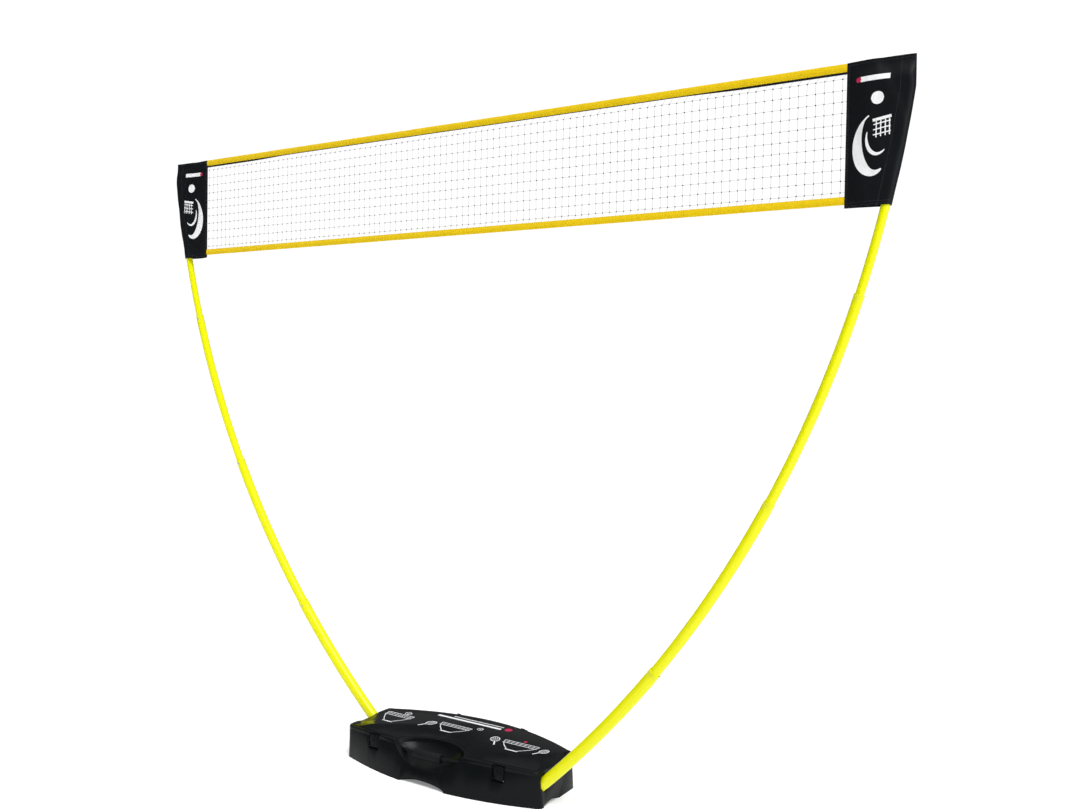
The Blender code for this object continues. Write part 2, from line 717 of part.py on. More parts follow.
def make_print_panel():
    """The thin printed sheet on top of the lid."""
    low = LID_TOP + GAP
    rings = [case_ring(low, PANEL_INSET), case_ring(low + PRINT_THICK, PANEL_INSET)]
    sheet = add_object("lid_print_panel", loft_mesh("lid_print_panel", rings), "lid_print")
    combine(sheet, cutter("print_scoop", scoop_mesh(PRINT_SCOOP_ROOM)))
    for side, sign in SIDES:
        combine(sheet, cutter(f"{side}_print_facet", facet_mesh(sign, PRINT_FACET_ROOM)))


def make_carry_handle():
    spots = [grip_point(BAR_REACH * (i / 8 - 1)) for i in range(17)]
    add_object("carry_bar", path_mesh("carry_bar", spots, BAR_RADIUS, 6), "black_nylon")
    half = GRIP_LENGTH / 2
    spots = [grip_point(half * (i / 4 - 1)) for i in range(9)]
    grip_mesh = path_mesh("carry_grip", spots, GRIP_RADIUS, 8)
    grip = add_object("carry_grip", grip_mesh, "grip_rubber")
    spots = [grip_point(half * GRIP_BORE_REACH * (i / 4 - 1)) for i in range(9)]
    combine(grip, cutter("grip_bore", path_mesh("grip_bore", spots, BAR_RADIUS + GAP, 6)))


def hinge_leaf(name, x_low, x_high, z_low, z_high):
    """A flat leaf on the case's back with a barrel for the pin."""
    wall = BACK_END + (BACK_MIDDLE - BACK_END) * (1.0 - (min(abs(x_low), abs(x_high)) /
                                                        (CASE_HALF_LENGTH - CORNER)) ** 2)
    near = wall + GAP
    leaf = add_object(name, box_mesh(name, (x_low, near, z_low), (x_high, near + HINGE_LEAF, z_high)),
                      "black_nylon")
    bridge_top = max(HINGE_AXIS_Z, z_low) + HINGE_BRIDGE
    bridge = box_mesh("bridge",
                      (x_low + BRIDGE_INSET, near + BRIDGE_START, HINGE_AXIS_Z - HINGE_BRIDGE),
                      (x_high - BRIDGE_INSET, HINGE_AXIS_Y, bridge_top))
    combine(leaf, cutter(f"{name}_bridge", bridge), "UNION")
    barrel = rod_mesh("barrel", (x_low, HINGE_AXIS_Y, HINGE_AXIS_Z),
                      (x_high, HINGE_AXIS_Y, HINGE_AXIS_Z), HINGE_BARREL)
    combine(leaf, cutter(f"{name}_barrel", barrel), "UNION")
    hole = rod_mesh("hole", (x_low - PIN_HOLE_OVER, HINGE_AXIS_Y, HINGE_AXIS_Z),
                    (x_high + PIN_HOLE_OVER, HINGE_AXIS_Y, HINGE_AXIS_Z), HINGE_PIN + PIN_PLAY)
    combine(leaf, cutter(f"{name}_hole", hole))


def make_hinges():
    for side, sign in SIDES:
        inner = HINGE_X
        middle = HINGE_X + BARREL_LENGTH
        outer = HINGE_X + 2 * BARREL_LENGTH
        spans = ((inner, middle - GAP), (middle + GAP, outer))
        base_span, lid_span = [sorted((sign * a, sign * b)) for a, b in spans]
        hinge_leaf(f"{side}_base_hinge_leaf", *base_span, HINGE_LEAF_LOW, CASE_TOP - GAP)
        hinge_leaf(f"{side}_lid_hinge_leaf", *lid_span, CASE_TOP + 2 * GAP, LID_TOP)
        ends = sorted((sign * (inner - PIN_HOLE_OVER), sign * (outer + PIN_HOLE_OVER)))
        pin = rod_mesh("pin", (ends[0], HINGE_AXIS_Y, HINGE_AXIS_Z),
                       (ends[1], HINGE_AXIS_Y, HINGE_AXIS_Z), HINGE_PIN)
        add_object(f"{side}_hinge_pin", pin, "steel")


def make_latches():
    """Each latch turns on a pin at its foot and hooks a nib into the lid's front edge."""
    for side, sign in SIDES:
        front = -LATCH_THICK / 2
        back = LATCH_THICK / 2
        foot = [(LATCH_FOOT * cos(a), LATCH_FOOT * sin(a))
                for a in (radians(180 + 180 * i / 8) for i in range(1, 8))]
        profile = [(front, 0.0)] + foot + [(back, 0.0)]
        nib_low = NIB_Z - LATCH_PIN_Z - NIB_THICK / 2
        profile += [(back, nib_low), (back + NIB_DEPTH, nib_low + NIB_SLOPE),
                    (back + NIB_DEPTH, nib_low + NIB_THICK), (back, nib_low + NIB_THICK),
                    (back, LATCH_HEIGHT - LATCH_EASE), (back - LATCH_EASE, LATCH_HEIGHT),
                    (front + 2 * LATCH_EASE, LATCH_HEIGHT), (front, LATCH_HEIGHT - 3 * LATCH_EASE)]
        nib_plate = plate_mesh("latch_nib", profile, NIB_WIDTH)
        plain = [(y, z) for y, z in profile if y <= back + GAP]
        wide = plate_mesh("latch_plate", plain, LATCH_WIDTH)
        for item in (nib_plate, wide):
            item.transform(Matrix(((0, 0, 1, 0), (1, 0, 0, 0), (0, 1, 0, 0), (0, 0, 0, 1))))
        latch = add_object(f"{side}_latch", wide, "black_nylon")
        latch.location = (sign * LATCH_X, LATCH_PIN_Y, LATCH_PIN_Z)
        nib = cutter(f"{side}_latch_nib", nib_plate)
        nib.location = latch.location
        combine(latch, nib, "UNION")
        reach = LATCH_POCKET / 2 + PIN_REACH - PIN_END_ROOM
        ends = (sign * LATCH_X - reach, sign * LATCH_X + reach)
        bore = rod_mesh("bore", (ends[0], LATCH_PIN_Y, LATCH_PIN_Z),
                        (ends[1], LATCH_PIN_Y, LATCH_PIN_Z), LATCH_PIN + PIN_PLAY)
        combine(latch, cutter(f"{side}_latch_bore", bore))
        pin = rod_mesh("pin", (ends[0], LATCH_PIN_Y, LATCH_PIN_Z),
                       (ends[1], LATCH_PIN_Y, LATCH_PIN_Z), LATCH_PIN)
        add_object(f"{side}_latch_pin", pin, "steel")


clear_scene()
PARTS = make_collection("portable_net_stand")
CUTTERS = make_collection("cutters")
make_poles()
make_net()
make_base()
make_lid()
make_print_panel()
make_carry_handle()
make_hinges()
make_latches()
bpy.context.view_layer.update()
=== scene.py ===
import json
from math import asin, atan2, cos, hypot, pi, radians, sin, sqrt, tan

import bmesh
import bpy
from bpy.props import FloatProperty, FloatVectorProperty, IntProperty, PointerProperty
from mathutils import Matrix, Vector, noise

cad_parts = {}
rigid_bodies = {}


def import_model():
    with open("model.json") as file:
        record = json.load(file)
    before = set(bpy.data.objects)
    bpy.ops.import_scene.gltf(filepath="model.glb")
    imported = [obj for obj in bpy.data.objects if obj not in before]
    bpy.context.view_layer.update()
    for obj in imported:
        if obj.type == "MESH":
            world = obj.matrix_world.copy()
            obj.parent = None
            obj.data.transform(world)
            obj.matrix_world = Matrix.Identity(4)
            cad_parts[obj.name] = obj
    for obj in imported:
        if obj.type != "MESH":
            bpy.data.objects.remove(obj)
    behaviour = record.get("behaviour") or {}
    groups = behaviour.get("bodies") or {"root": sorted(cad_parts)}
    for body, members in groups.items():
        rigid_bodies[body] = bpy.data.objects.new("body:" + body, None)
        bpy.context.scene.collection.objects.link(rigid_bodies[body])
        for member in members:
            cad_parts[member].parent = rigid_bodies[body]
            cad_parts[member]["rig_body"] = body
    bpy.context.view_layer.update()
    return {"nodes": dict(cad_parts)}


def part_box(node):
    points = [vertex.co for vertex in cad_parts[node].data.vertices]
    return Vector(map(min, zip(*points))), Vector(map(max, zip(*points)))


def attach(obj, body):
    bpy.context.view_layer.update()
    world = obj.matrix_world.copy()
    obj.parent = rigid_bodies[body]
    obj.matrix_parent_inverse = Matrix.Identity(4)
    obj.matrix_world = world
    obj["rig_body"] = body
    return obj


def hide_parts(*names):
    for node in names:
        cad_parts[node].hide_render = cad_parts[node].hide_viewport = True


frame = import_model()

bl_info = {
    "name": "Portable Net Stand",
    "version": (1, 0, 0),
    "blender": (4, 5, 0),
    "location": "View3D > Sidebar > Net Stand",
    "description": "Finishes a net on two bowed poles that stand in a carrying case",
    "category": "Add Mesh",
}

SIDES = (("left", -1), ("right", 1))

# The circle that every pole section follows, in metres
ARC_RADIUS = 3.584
ARC_X = -2.059
ARC_Z = 2.677
LANE = 0.0913
FOOT_Z = 0.024
TIP_Z = 2.215
SECTION = 0.649
INSERT = 0.13
BUTTON_DROP = 0.018
BUTTON_HOLE = 0.0044
POLE_TURN = atan2(LANE, ARC_X + sqrt(ARC_RADIUS ** 2 - (TIP_Z - ARC_Z) ** 2))
FOOT_ANGLE = asin((FOOT_Z - ARC_Z) / ARC_RADIUS)
TIP_ANGLE = asin((TIP_Z - ARC_Z) / ARC_RADIUS)
RIM_ANGLES = tuple(FOOT_ANGLE + (k + 1) * SECTION / ARC_RADIUS for k in range(3))
TUBE_DIAMETERS = (0.040, 0.035, 0.030, 0.025)
TUBE_WALL = 0.0019
TUBE_STEP = 0.03                # distance between two rings of a drawn tube
DRILL_START = 0.021             # middle of the drill beside the tube's centre line
DRILL_LENGTH = 0.03

# Carrying case
GRIP_SHARE = 0.86               # share of the grip that has ribs
GRIP_BEHIND = 0.0145            # ribs' centre line behind the front of the grip
GRIP_BOW = 0.020                # how far back the bar's ends lie behind its middle
BAR_REACH = 0.158
RIB_RADIUS = 0.0144
RIB_THICK = 0.0007
LATCH_RIB_TOP = 0.008           # first finger rib below the latch's top
LATCH_RIB_STEP = 0.0045
LATCH_RIB_INSET = 0.009
LATCH_RIB_WIDTH = 0.0016
LATCH_RIB_THICK = 0.0019
LATCH_FRONT_REST = 0.00175      # latch's flat front behind its frontmost point
SCREW_RISES = (0.0075, 0.0185)
SPOT_REACH = 0.0002
SCREW_RADIUS = 0.0028
SCREW_HEIGHT = 0.0007
LID_INK_THICK = 0.00022

# Net, tapes and end panels
NET_OVERLAP = 0.004             # how far the netting reaches into each tape
NET_MARGIN = 0.0160             # outermost level twine inside the netting's edge
TAPE_HALF = 0.0033              # half a tape's thickness over its cord
TAPE_WRINKLE = 0.0022
BINDING_HALF = 0.0017
BINDING_WRINKLE = 0.0012
STITCH_WIDTH = 0.0008
BAND_SHARES = (0.0, 0.10, 0.20, 0.32, 0.46, 0.60, 0.74, 0.86, 0.95, 0.985, 1.0)
BAND_STEP = 0.006
BAND_CLOTH = 0.0006
SEAM_STEP = 0.004
PANEL_CLOTH = 0.0007
HEM_FOOT = 0.012                # stitch rows inside the panel's foot, head and inner edge
HEM_HEAD = 0.008
HEM_INNER = 0.007
HEM_OUTER = 0.004
HEM_LOW = 0.004
HEM_INNER_LOW = 0.003
POLE_TO_EDGE = 0.0155           # pocket's outer edge beyond the pole's centre line
POCKET_FLAT = 0.0012            # half the pocket's depth where it lies flat
POCKET_HEAD = 0.006             # flat strip above the pocket
POCKET_EASE = 0.062             # height over which the pocket fills out below it
SLEEVE_SEAM = 0.036             # sleeve's seam inside the outer edge
CLOTH_LIFT = 0.0008             # stitches above the cloth
PRINT_LIFT = 0.0010
CLOTH_INK_THICK = 0.00025

# Stage, in metres and degrees
CAMERA_PLACE = (2.0909, -2.8541, 1.3943)
CAMERA_YAW, CAMERA_PITCH, CAMERA_ROLL = 31.674, -1.316, 0.922
FLOOR_HALF = 30
SUN_POWER = 2.3
SUN_SPREAD = 28
SUN_WAY = (-0.55, 0.42, -1.0)
FILL_POWER = 60.0
FILL_SIZE = 2.2
FILL_PLACE = (5.2, -1.2, 2.4)
FILL_TARGET = (0.2, 0.0, 1.2)


# ---------------------------------------------------------------- sizes and colours
def length(name, default, description):
    return FloatProperty(name=name, description=description, default=default, unit="LENGTH")


def colour(name, default, description):
    return FloatVectorProperty(name=name, description=description, default=default,
                               subtype="COLOR", size=3, min=0.0, max=1.0)


class CaseLooks(bpy.types.PropertyGroup):
    edge: length("Edge rounding", 0.0006, "Rounding of the moulded edges")
    plastic: colour("Plastic", (0.0032, 0.0042, 0.0047), "Colour of the moulded case")
    sheet: colour("Lid sheet", (0.0028, 0.0036, 0.0041), "Colour of the glossy sheet on the lid")
    ink: colour("Ink", (0.80, 0.82, 0.84), "Colour of the line drawings")
    accent: colour("Accent", (0.45, 0.015, 0.07), "Colour of the small accent marks")
    line_width: length("Line width", 0.0030, "Width of the drawn lines")
    rib_pitch: length("Grip rib pitch", 0.0052, "Distance between two ribs of the grip")


class PoleLooks(bpy.types.PropertyGroup):
    sides: IntProperty(name="Sides", description="Flats around a tube", default=48, min=12)
    lip: length("Rim lip", 0.00035, "How far the rolled rim stands out")
    yellow: colour("Yellow", (0.76, 0.79, 0.001), "Colour of the tubes")


class NetLooks(bpy.types.PropertyGroup):
    columns: IntProperty(name="Columns", description="Upright twines", default=105, min=2)
    rows: IntProperty(name="Rows", description="Level twines", default=11, min=2)
    twine: length("Twine radius", 0.00040, "Half the twine's thickness")
    knot: length("Knot radius", 0.0019, "Half the width of a knot")
    wave: length("Wave", 0.0050, "How far the twines stray from straight")
    stitch: length("Stitch pitch", 0.0042, "Distance between two stitches")
    cord: colour("Twine colour", (0.20, 0.24, 0.20), "Colour of the netting")
    tape: colour("Tape colour", (0.80, 0.56, 0.006), "Colour of the edge tapes")


class PanelLooks(bpy.types.PropertyGroup):
    fullness: length("Fullness", 0.0154, "Half the pocket's depth over the pole")
    cloth: colour("Cloth", (0.0030, 0.0042, 0.0062), "Colour of the end panels")
    print_ink: colour("Print", (0.82, 0.83, 0.84), "Colour of the printed drawing")


class StageLooks(bpy.types.PropertyGroup):
    floor: colour("Floor", (0.86, 0.86, 0.86), "Colour of the floor")
    lens: FloatProperty(name="Lens", description="Focal length", default=33.364,
                        subtype="DISTANCE_CAMERA")


# ---------------------------------------------------------------- node trees
class Graph:
    """A node tree that is filled in by plain calls."""

    def __init__(self, tree):
        self.tree = tree

    def node(self, kind, settings=None, sockets=None):
        """Add any node: its settings come first, then the values or links of its sockets."""
        item = self.tree.nodes.new(kind)
        for key, value in (settings or {}).items():
            setattr(item, key, value)
        for key, value in (sockets or {}).items():
            if isinstance(value, Wire):
                self.tree.links.new(value.socket, item.inputs[key])
            elif isinstance(value, bpy.types.NodeSocket):
                self.tree.links.new(value, item.inputs[key])
            else:
                item.inputs[key].default_value = value
        return item

    def wire(self, kind, settings=None, sockets=None, output=0):
        return Wire(self, self.node(kind, settings, sockets).outputs[output])

    def mix(self, low, high, share):
        """A colour between two colours."""
        low, high = [c if isinstance(c, Wire) else (*c, 1.0) for c in (low, high)]
        return self.wire("ShaderNodeMix", {"data_type": "RGBA"}, {0: share, 6: low, 7: high}, 2)

    def noise(self, place, scale, detail=2.0, output=0):
        return self.wire("ShaderNodeTexNoise", {},
                         {"Vector": place, "Scale": scale, "Detail": detail}, output)

    def stretched(self, place, factors):
        return self.joined("MULTIPLY", place, factors)

    def vector(self, x=0.0, y=0.0, z=0.0):
        return self.wire("ShaderNodeCombineXYZ", {}, {0: x, 1: y, 2: z})

    def joined(self, operation, one, other):
        return self.wire("ShaderNodeVectorMath", {"operation": operation}, {0: one, 1: other})

    def parts(self, place):
        split = self.node("ShaderNodeSeparateXYZ", {}, {0: place})
        return [Wire(self, out) for out in split.outputs]


class Wire:
    """A socket that adds Math nodes when it is used in an expression."""

    def __init__(self, graph, socket):
        self.graph = graph
        self.socket = socket

    def math(self, operation, *values):
        return self.graph.wire("ShaderNodeMath", {"operation": operation},
                               dict(enumerate(values)))

    def __add__(self, other):
        return self.math("ADD", self, other)

    def __sub__(self, other):
        return self.math("SUBTRACT", self, other)

    def __rsub__(self, other):
        return self.math("SUBTRACT", other, self)

    def __mul__(self, other):
        return self.math("MULTIPLY", self, other)

    def __truediv__(self, other):
        return self.math("DIVIDE", self, other)

    __radd__ = __add__
    __rmul__ = __mul__

    def sine(self):
        return self.math("SINE", self)

    def at_least(self, other):
        return self.math("MAXIMUM", self, other)

    def ramp(self, low, high):
        """0 below low, 1 above high, and smooth between them."""
        return self.graph.wire("ShaderNodeMapRange", {"interpolation_type": "SMOOTHSTEP"},
                               {0: self, 1: low, 2: high, 3: 0.0, 4: 1.0})


class Finish(Graph):
    """One material, with a Principled shader to plug into."""

    def __init__(self, name, **constants):
        self.material = bpy.data.materials.new(name)
        self.material.use_nodes = True
        super().__init__(self.material.node_tree)
        self.shader = self.tree.nodes["Principled BSDF"]
        for key, value in constants.items():
            self.shader.inputs[key.replace("_", " ")].default_value = value
        self.place = self.wire("ShaderNodeTexCoord", output=3)
        self.flat = self.wire("ShaderNodeTexCoord", output=2)

    def plug(self, **links):
        for key, value in links.items():
            self.tree.links.new(value.socket, self.shader.inputs[key.replace("_", " ")])
        return self

    def bump(self, height, distance, strength=1.0):
        bumped = self.wire("ShaderNodeBump", {},
                           {"Strength": strength, "Distance": distance, "Height": height})
        return self.plug(Normal=bumped)


def finish(name):
    """The material of that name, built the first time that it is asked for."""
    made = f"{name}_finish"
    return bpy.data.materials.get(made) or RECIPES[name](made).material


def looks(group):
    return getattr(bpy.context.scene, f"net_stand_{group}")


def shade_of(base, factor):
    return tuple(min(1.0, c * factor) for c in base)


def moulded_plastic(name, base, rough, grain=1500.0, depth=0.00006):
    """Satin plastic with a fine grain, cloudy and scuffed here and there."""
    mat = Finish(name, Specular_IOR_Level=0.10)
    cloud = mat.noise(mat.place, 11.0, 4.0)
    fine = mat.noise(mat.place, grain, 1.0)
    scuff = mat.noise(mat.stretched(mat.place, (40.0, 160.0, 90.0)), 1.0, 5.0).ramp(0.60, 0.78)
    tint = mat.mix(shade_of(base, 0.8), shade_of(base, 1.35), cloud)
    mat.plug(Base_Color=mat.mix(tint, shade_of(base, 2.2), scuff * 0.35),
             Roughness=rough + cloud * 0.10 + scuff * 0.10)
    return mat.bump(fine, depth, 0.6)


def lid_print(name):
    base = looks("case").sheet
    mat = Finish(name, Coat_Weight=0.02, Coat_Roughness=0.03, Specular_IOR_Level=0.12)
    smudge = mat.noise(mat.place, 17.0, 5.0).ramp(0.45, 0.75)
    peel = mat.noise(mat.place, 210.0, 1.0)
    mat.plug(Base_Color=mat.mix(base, shade_of(base, 1.7), smudge),
             Roughness=0.09 + smudge * 0.10)
    return mat.bump(peel, 0.00004, 0.5)


def ink_finish(name, base):
    mat = Finish(name, Specular_IOR_Level=0.4)
    wear = mat.noise(mat.place, 240.0, 3.0)
    mat.plug(Base_Color=mat.mix(shade_of(base, 0.82), base, wear.ramp(0.25, 0.5)),
             Roughness=0.30 + wear * 0.2)
    return mat.bump(wear, 0.00003, 0.5)


def pole_yellow(name):
    base = looks("poles").yellow
    mat = Finish(name, Coat_Weight=0.10, Coat_Roughness=0.12, Specular_IOR_Level=0.24)
    streak = mat.noise(mat.stretched(mat.flat, (42.0, 1.6, 1.0)), 1.0, 3.0)
    fine = mat.noise(mat.stretched(mat.flat, (220.0, 9.0, 1.0)), 1.0, 2.0)
    rub = mat.noise(mat.stretched(mat.flat, (9.0, 55.0, 1.0)), 1.0, 4.0).ramp(0.62, 0.72)
    deep = (base[0] * 0.94, base[1] * 0.84, base[2] * 0.6)
    tint = mat.mix(base, deep, streak * 0.5)
    mat.plug(Base_Color=mat.mix(tint, shade_of(base, 1.06), rub * 0.5),
             Roughness=0.20 + fine * 0.12 + rub * 0.12)
    return mat.bump(fine, 0.00003, 0.2)


def woven(name, base, thread, rough, dark, sheen, relief, gloss):
    """Plain weave on the piece's own flat map, which is in metres."""
    mat = Finish(name, Sheen_Weight=sheen, Sheen_Roughness=0.45, Specular_IOR_Level=gloss)
    across, along, _ = mat.parts(mat.flat)
    turns = 2 * pi / thread
    warp = (across * turns).sine()
    weft = (along * turns).sine()
    weave = (warp * weft) * 0.5 + 0.5
    fade = mat.noise(mat.flat, 22.0, 4.0)
    fuzz = mat.noise(mat.flat, 900.0, 2.0)
    # painted shade: random stretched streaks darken the cloth, as shade lying in creases
    painted_crease_shade = mat.noise(mat.stretched(mat.flat, (60.0, 17.0, 1.0)), 1.0, 3.0).ramp(0.5, 0.8)
    tint = mat.mix(base, shade_of(base, dark), weave * 0.45 + fade * 0.25)
    mat.plug(Base_Color=mat.mix(tint, shade_of(base, dark), painted_crease_shade * 0.4),
             Roughness=rough + fuzz * 0.12)
    return mat.bump(weave + fuzz * 0.5, thread * 0.18, relief)


def thread_finish(name, base):
    mat = Finish(name, Specular_IOR_Level=0.3)
    ply = mat.noise(mat.place, 2600.0, 2.0)
    mat.plug(Base_Color=mat.mix(shade_of(base, 0.6), base, ply), Roughness=0.62 + ply * 0.2)
    return mat.bump(ply, 0.00008, 0.8)


def grip_rubber(name):
    mat = Finish(name, Specular_IOR_Level=0.12)
    pore = mat.noise(mat.place, 850.0, 3.0)
    worn = mat.noise(mat.place, 38.0, 3.0)
    mat.plug(Base_Color=mat.mix((0.0045, 0.005, 0.0055), (0.010, 0.011, 0.012), worn),
             Roughness=0.52 + pore * 0.25)
    return mat.bump(pore, 0.00015, 0.8)


def steel(name):
    mat = Finish(name, Metallic=1.0)
    brush = mat.noise(mat.stretched(mat.place, (180.0, 900.0, 900.0)), 1.0, 3.0)
    mat.plug(Base_Color=mat.mix((0.50, 0.51, 0.53), (0.68, 0.68, 0.69), brush),
             Roughness=0.20 + brush * 0.2)
    return mat.bump(brush, 0.00003, 0.5)


def studio_floor(name):
    mat = Finish(name, Specular_IOR_Level=0.1, Emission_Color=(1.0, 1.0, 1.0, 1.0),
                 Emission_Strength=0.22)
    cloud = mat.noise(mat.place, 0.35, 2.0)
    base = looks("stage").floor
    mat.plug(Base_Color=mat.mix(shade_of(base, 0.985), base, cloud), Roughness=0.78 + cloud * 0.1)
    return mat


RECIPES = {
    "case_plastic": lambda name: moulded_plastic(name, looks("case").plastic, 0.24),
    "black_nylon": lambda name: moulded_plastic(name, (0.0036, 0.0044, 0.0048), 0.36,
                                                1100.0, 0.00008),
    "lid_print": lid_print,
    "lid_ink": lambda name: ink_finish(name, looks("case").ink),
    "accent_ink": lambda name: ink_finish(name, looks("case").accent),
    "cloth_ink": lambda name: ink_finish(name, looks("panels").print_ink),
    "pole_yellow": pole_yellow,
    "tape_yellow": lambda name: woven(name, looks("net").tape, 0.0011, 0.62, 0.80, 0.10,
                                      0.3, 0.06),
    "panel_fabric": lambda name: woven(name, looks("panels").cloth, 0.0008, 0.40, 0.55, 0.0,
                                       0.4, 0.14),
    "net_twine": lambda name: thread_finish(name, looks("net").cord),
    # painted shade: the knots are the twine's own colour darkened to about a fifth, shade painted
    # into the knots
    "net_knot": lambda name: thread_finish(name, shade_of(looks("net").cord, 0.22)),
    "tape_thread": lambda name: thread_finish(name, shade_of(looks("net").tape, 0.75)),
    "black_thread": lambda name: thread_finish(name, (0.050, 0.054, 0.060)),
    "grip_rubber": grip_rubber,
    "steel": steel,
    "studio_floor": studio_floor,
}


# ---------------------------------------------------------------- geometry trees
def geometry_tree(name, inputs):
    """An empty geometry tree with named inputs, and the sockets that carry them."""
    tree = bpy.data.node_groups.new(name, "GeometryNodeTree")
    tree.interface.new_socket("Geometry", in_out="INPUT", socket_type="NodeSocketGeometry")
    tree.interface.new_socket("Geometry", in_out="OUTPUT", socket_type="NodeSocketGeometry")
    for label, kind in inputs:
        tree.interface.new_socket(label, in_out="INPUT", socket_type=f"NodeSocket{kind}")
    graph = Graph(tree)
    entry = graph.node("NodeGroupInput")
    return graph, {out.name: Wire(graph, out) for out in entry.outputs if out.name}


def close_tree(graph, geometry, material):
    """End the tree in real geometry with its finish on it."""
    real = graph.wire("GeometryNodeRealizeInstances", {}, {0: geometry})
    smooth = graph.wire("GeometryNodeSetShadeSmooth", {}, {0: real})
    done = graph.wire("GeometryNodeSetMaterial", {}, {"Geometry": smooth, "Material": material})
    graph.node("NodeGroupOutput", {}, {0: done})
    return graph.tree


def evaluated_mesh(item):
    graph = bpy.context.evaluated_depsgraph_get()
    graph.update()
    return bpy.data.meshes.new_from_object(item.evaluated_get(graph), depsgraph=graph)


def grown(name, tree, values, start=None):
    """Run a geometry tree on a starting mesh and keep what it makes as a plain mesh."""
    item = add_item(name, start or bpy.data.meshes.new(name))
    modifier = item.modifiers.new("growth", "NODES")
    modifier.node_group = tree
    for socket in tree.interface.items_tree:
        if socket.in_out == "INPUT" and socket.name in values:
            modifier[socket.identifier] = values[socket.name]
    mesh = evaluated_mesh(item)
    item.modifiers.remove(modifier)
    item.data = mesh
    mesh.name = name
    return item


def netting_tree():
    """Upright and level twines that cross in knots."""
    graph, sockets = geometry_tree("netting", (
        ("Width", "Float"), ("Low", "Float"), ("High", "Float"), ("Margin", "Float"),
        ("Columns", "Int"), ("Rows", "Int"), ("Twine", "Float"), ("Knot", "Float"),
        ("Wave", "Float"), ("Knot finish", "Material"), ("Finish", "Material")))
    width, low, high, margin = (sockets[k] for k in ("Width", "Low", "High", "Margin"))
    columns, rows, twine = (sockets[k] for k in ("Columns", "Rows", "Twine"))
    pitch = width / columns
    drop = (high - low - margin * 2.0) / (rows - 1.0)

    def strand(end, points, count, first, step):
        """Copies of one straight twine, side by side."""
        line = graph.wire("GeometryNodeCurvePrimitiveLine", {}, {"Start": (0.0, 0.0, 0.0),
                                                                 "End": end})
        line = graph.wire("GeometryNodeResampleCurve", {}, {"Curve": line, "Count": points})
        spots = graph.wire("GeometryNodeMeshLine", {}, {"Count": count, "Start Location": first,
                                                         "Offset": step})
        lines = graph.wire("GeometryNodeInstanceOnPoints", {}, {"Points": spots, "Instance": line})
        return graph.wire("GeometryNodeRealizeInstances", {}, {0: lines})

    def strayed(geometry):
        """Twine that sags out of line, and leans towards its tape outside the margins."""
        place = graph.wire("GeometryNodeInputPosition")
        slow = graph.noise(place, 13.0, 2.0, 1)
        quick = graph.noise(place, 47.0, 1.0, 1)
        centred = graph.joined("SUBTRACT", graph.joined("ADD", slow, quick), (1.0, 1.0, 1.0))
        wave = sockets["Wave"]
        move = graph.joined("MULTIPLY", centred, graph.vector(wave, wave * 0.5, wave * 0.35))
        above = (graph.parts(place)[2] - (high - margin)).at_least(0.0)
        below = ((low + margin) - graph.parts(place)[2]).at_least(0.0)
        lean = graph.joined("ADD", move, graph.vector(above * 0.75 - below * 0.25))
        return graph.wire("GeometryNodeSetPosition", {}, {"Geometry": geometry, "Offset": lean})

    half = width * 0.5
    uprights = strand(graph.vector(z=high - low), rows * 3.0, columns,
                      graph.vector(pitch * 0.5 - half, 0.0, low), graph.vector(pitch))
    levels = strand(graph.vector(width), columns * 2.0, rows,
                    graph.vector(0.0 - half, 0.0, low + margin), graph.vector(z=drop))
    lines = graph.node("GeometryNodeJoinGeometry")
    for part in (uprights, levels):
        graph.tree.links.new(part.socket, lines.inputs[0])
    ring = graph.wire("GeometryNodeCurvePrimitiveCircle", {}, {"Resolution": 4, "Radius": twine})
    tubes = graph.wire("GeometryNodeCurveToMesh", {},
                       {"Curve": strayed(lines.outputs[0]), "Profile Curve": ring,
                        "Fill Caps": True})
    grid = graph.wire("GeometryNodeMeshGrid", {}, {
        "Size X": width - pitch, "Size Y": high - low - margin * 2.0,
        "Vertices X": columns, "Vertices Y": rows})
    upright = graph.wire("GeometryNodeTransform", {}, {
        "Geometry": grid, "Translation": graph.vector(z=(high + low) * 0.5),
        "Rotation": (pi / 2, 0.0, 0.0)})
    ball = graph.wire("GeometryNodeMeshUVSphere", {}, {"Segments": 6, "Rings": 4,
                                                       "Radius": sockets["Knot"]})
    tilt = graph.wire("FunctionNodeRandomValue", {"data_type": "FLOAT_VECTOR"}, {
        0: (-0.5, -0.9, -0.5), 1: (0.5, 0.9, 0.5), "Seed": 7})
    knots = graph.wire("GeometryNodeInstanceOnPoints", {}, {
        "Points": strayed(upright), "Instance": ball, "Rotation": tilt,
        "Scale": (1.0, 0.75, 1.35)})
    knots = graph.wire("GeometryNodeRealizeInstances", {}, {0: knots})
    knots = graph.wire("GeometryNodeSetMaterial", {}, {
        "Geometry": knots, "Material": sockets["Knot finish"]})
    tubes = graph.wire("GeometryNodeSetMaterial", {}, {
        "Geometry": tubes, "Material": sockets["Finish"]})
    both = graph.node("GeometryNodeJoinGeometry")
    for part in (tubes, knots):
        graph.tree.links.new(part.socket, both.inputs[0])
    smooth_all = graph.wire("GeometryNodeSetShadeSmooth", {}, {0: both.outputs[0]})
    graph.node("NodeGroupOutput", {}, {0: smooth_all})
    return graph.tree


def spaced(graph, sockets):
    """Points along the starting line, one for each pitch."""
    line = graph.wire("GeometryNodeMeshToCurve", {}, {0: sockets["Geometry"]})
    return graph.wire("GeometryNodeResampleCurve", {"mode": "LENGTH"},
                      {"Curve": line, "Length": sockets["Pitch"]})


def facing(graph, axis, way):
    """The turn that lays an axis along each point's tangent or normal."""
    return graph.wire("FunctionNodeAlignRotationToVector", {"axis": axis},
                      {"Vector": graph.wire(f"GeometryNodeInput{way}")})


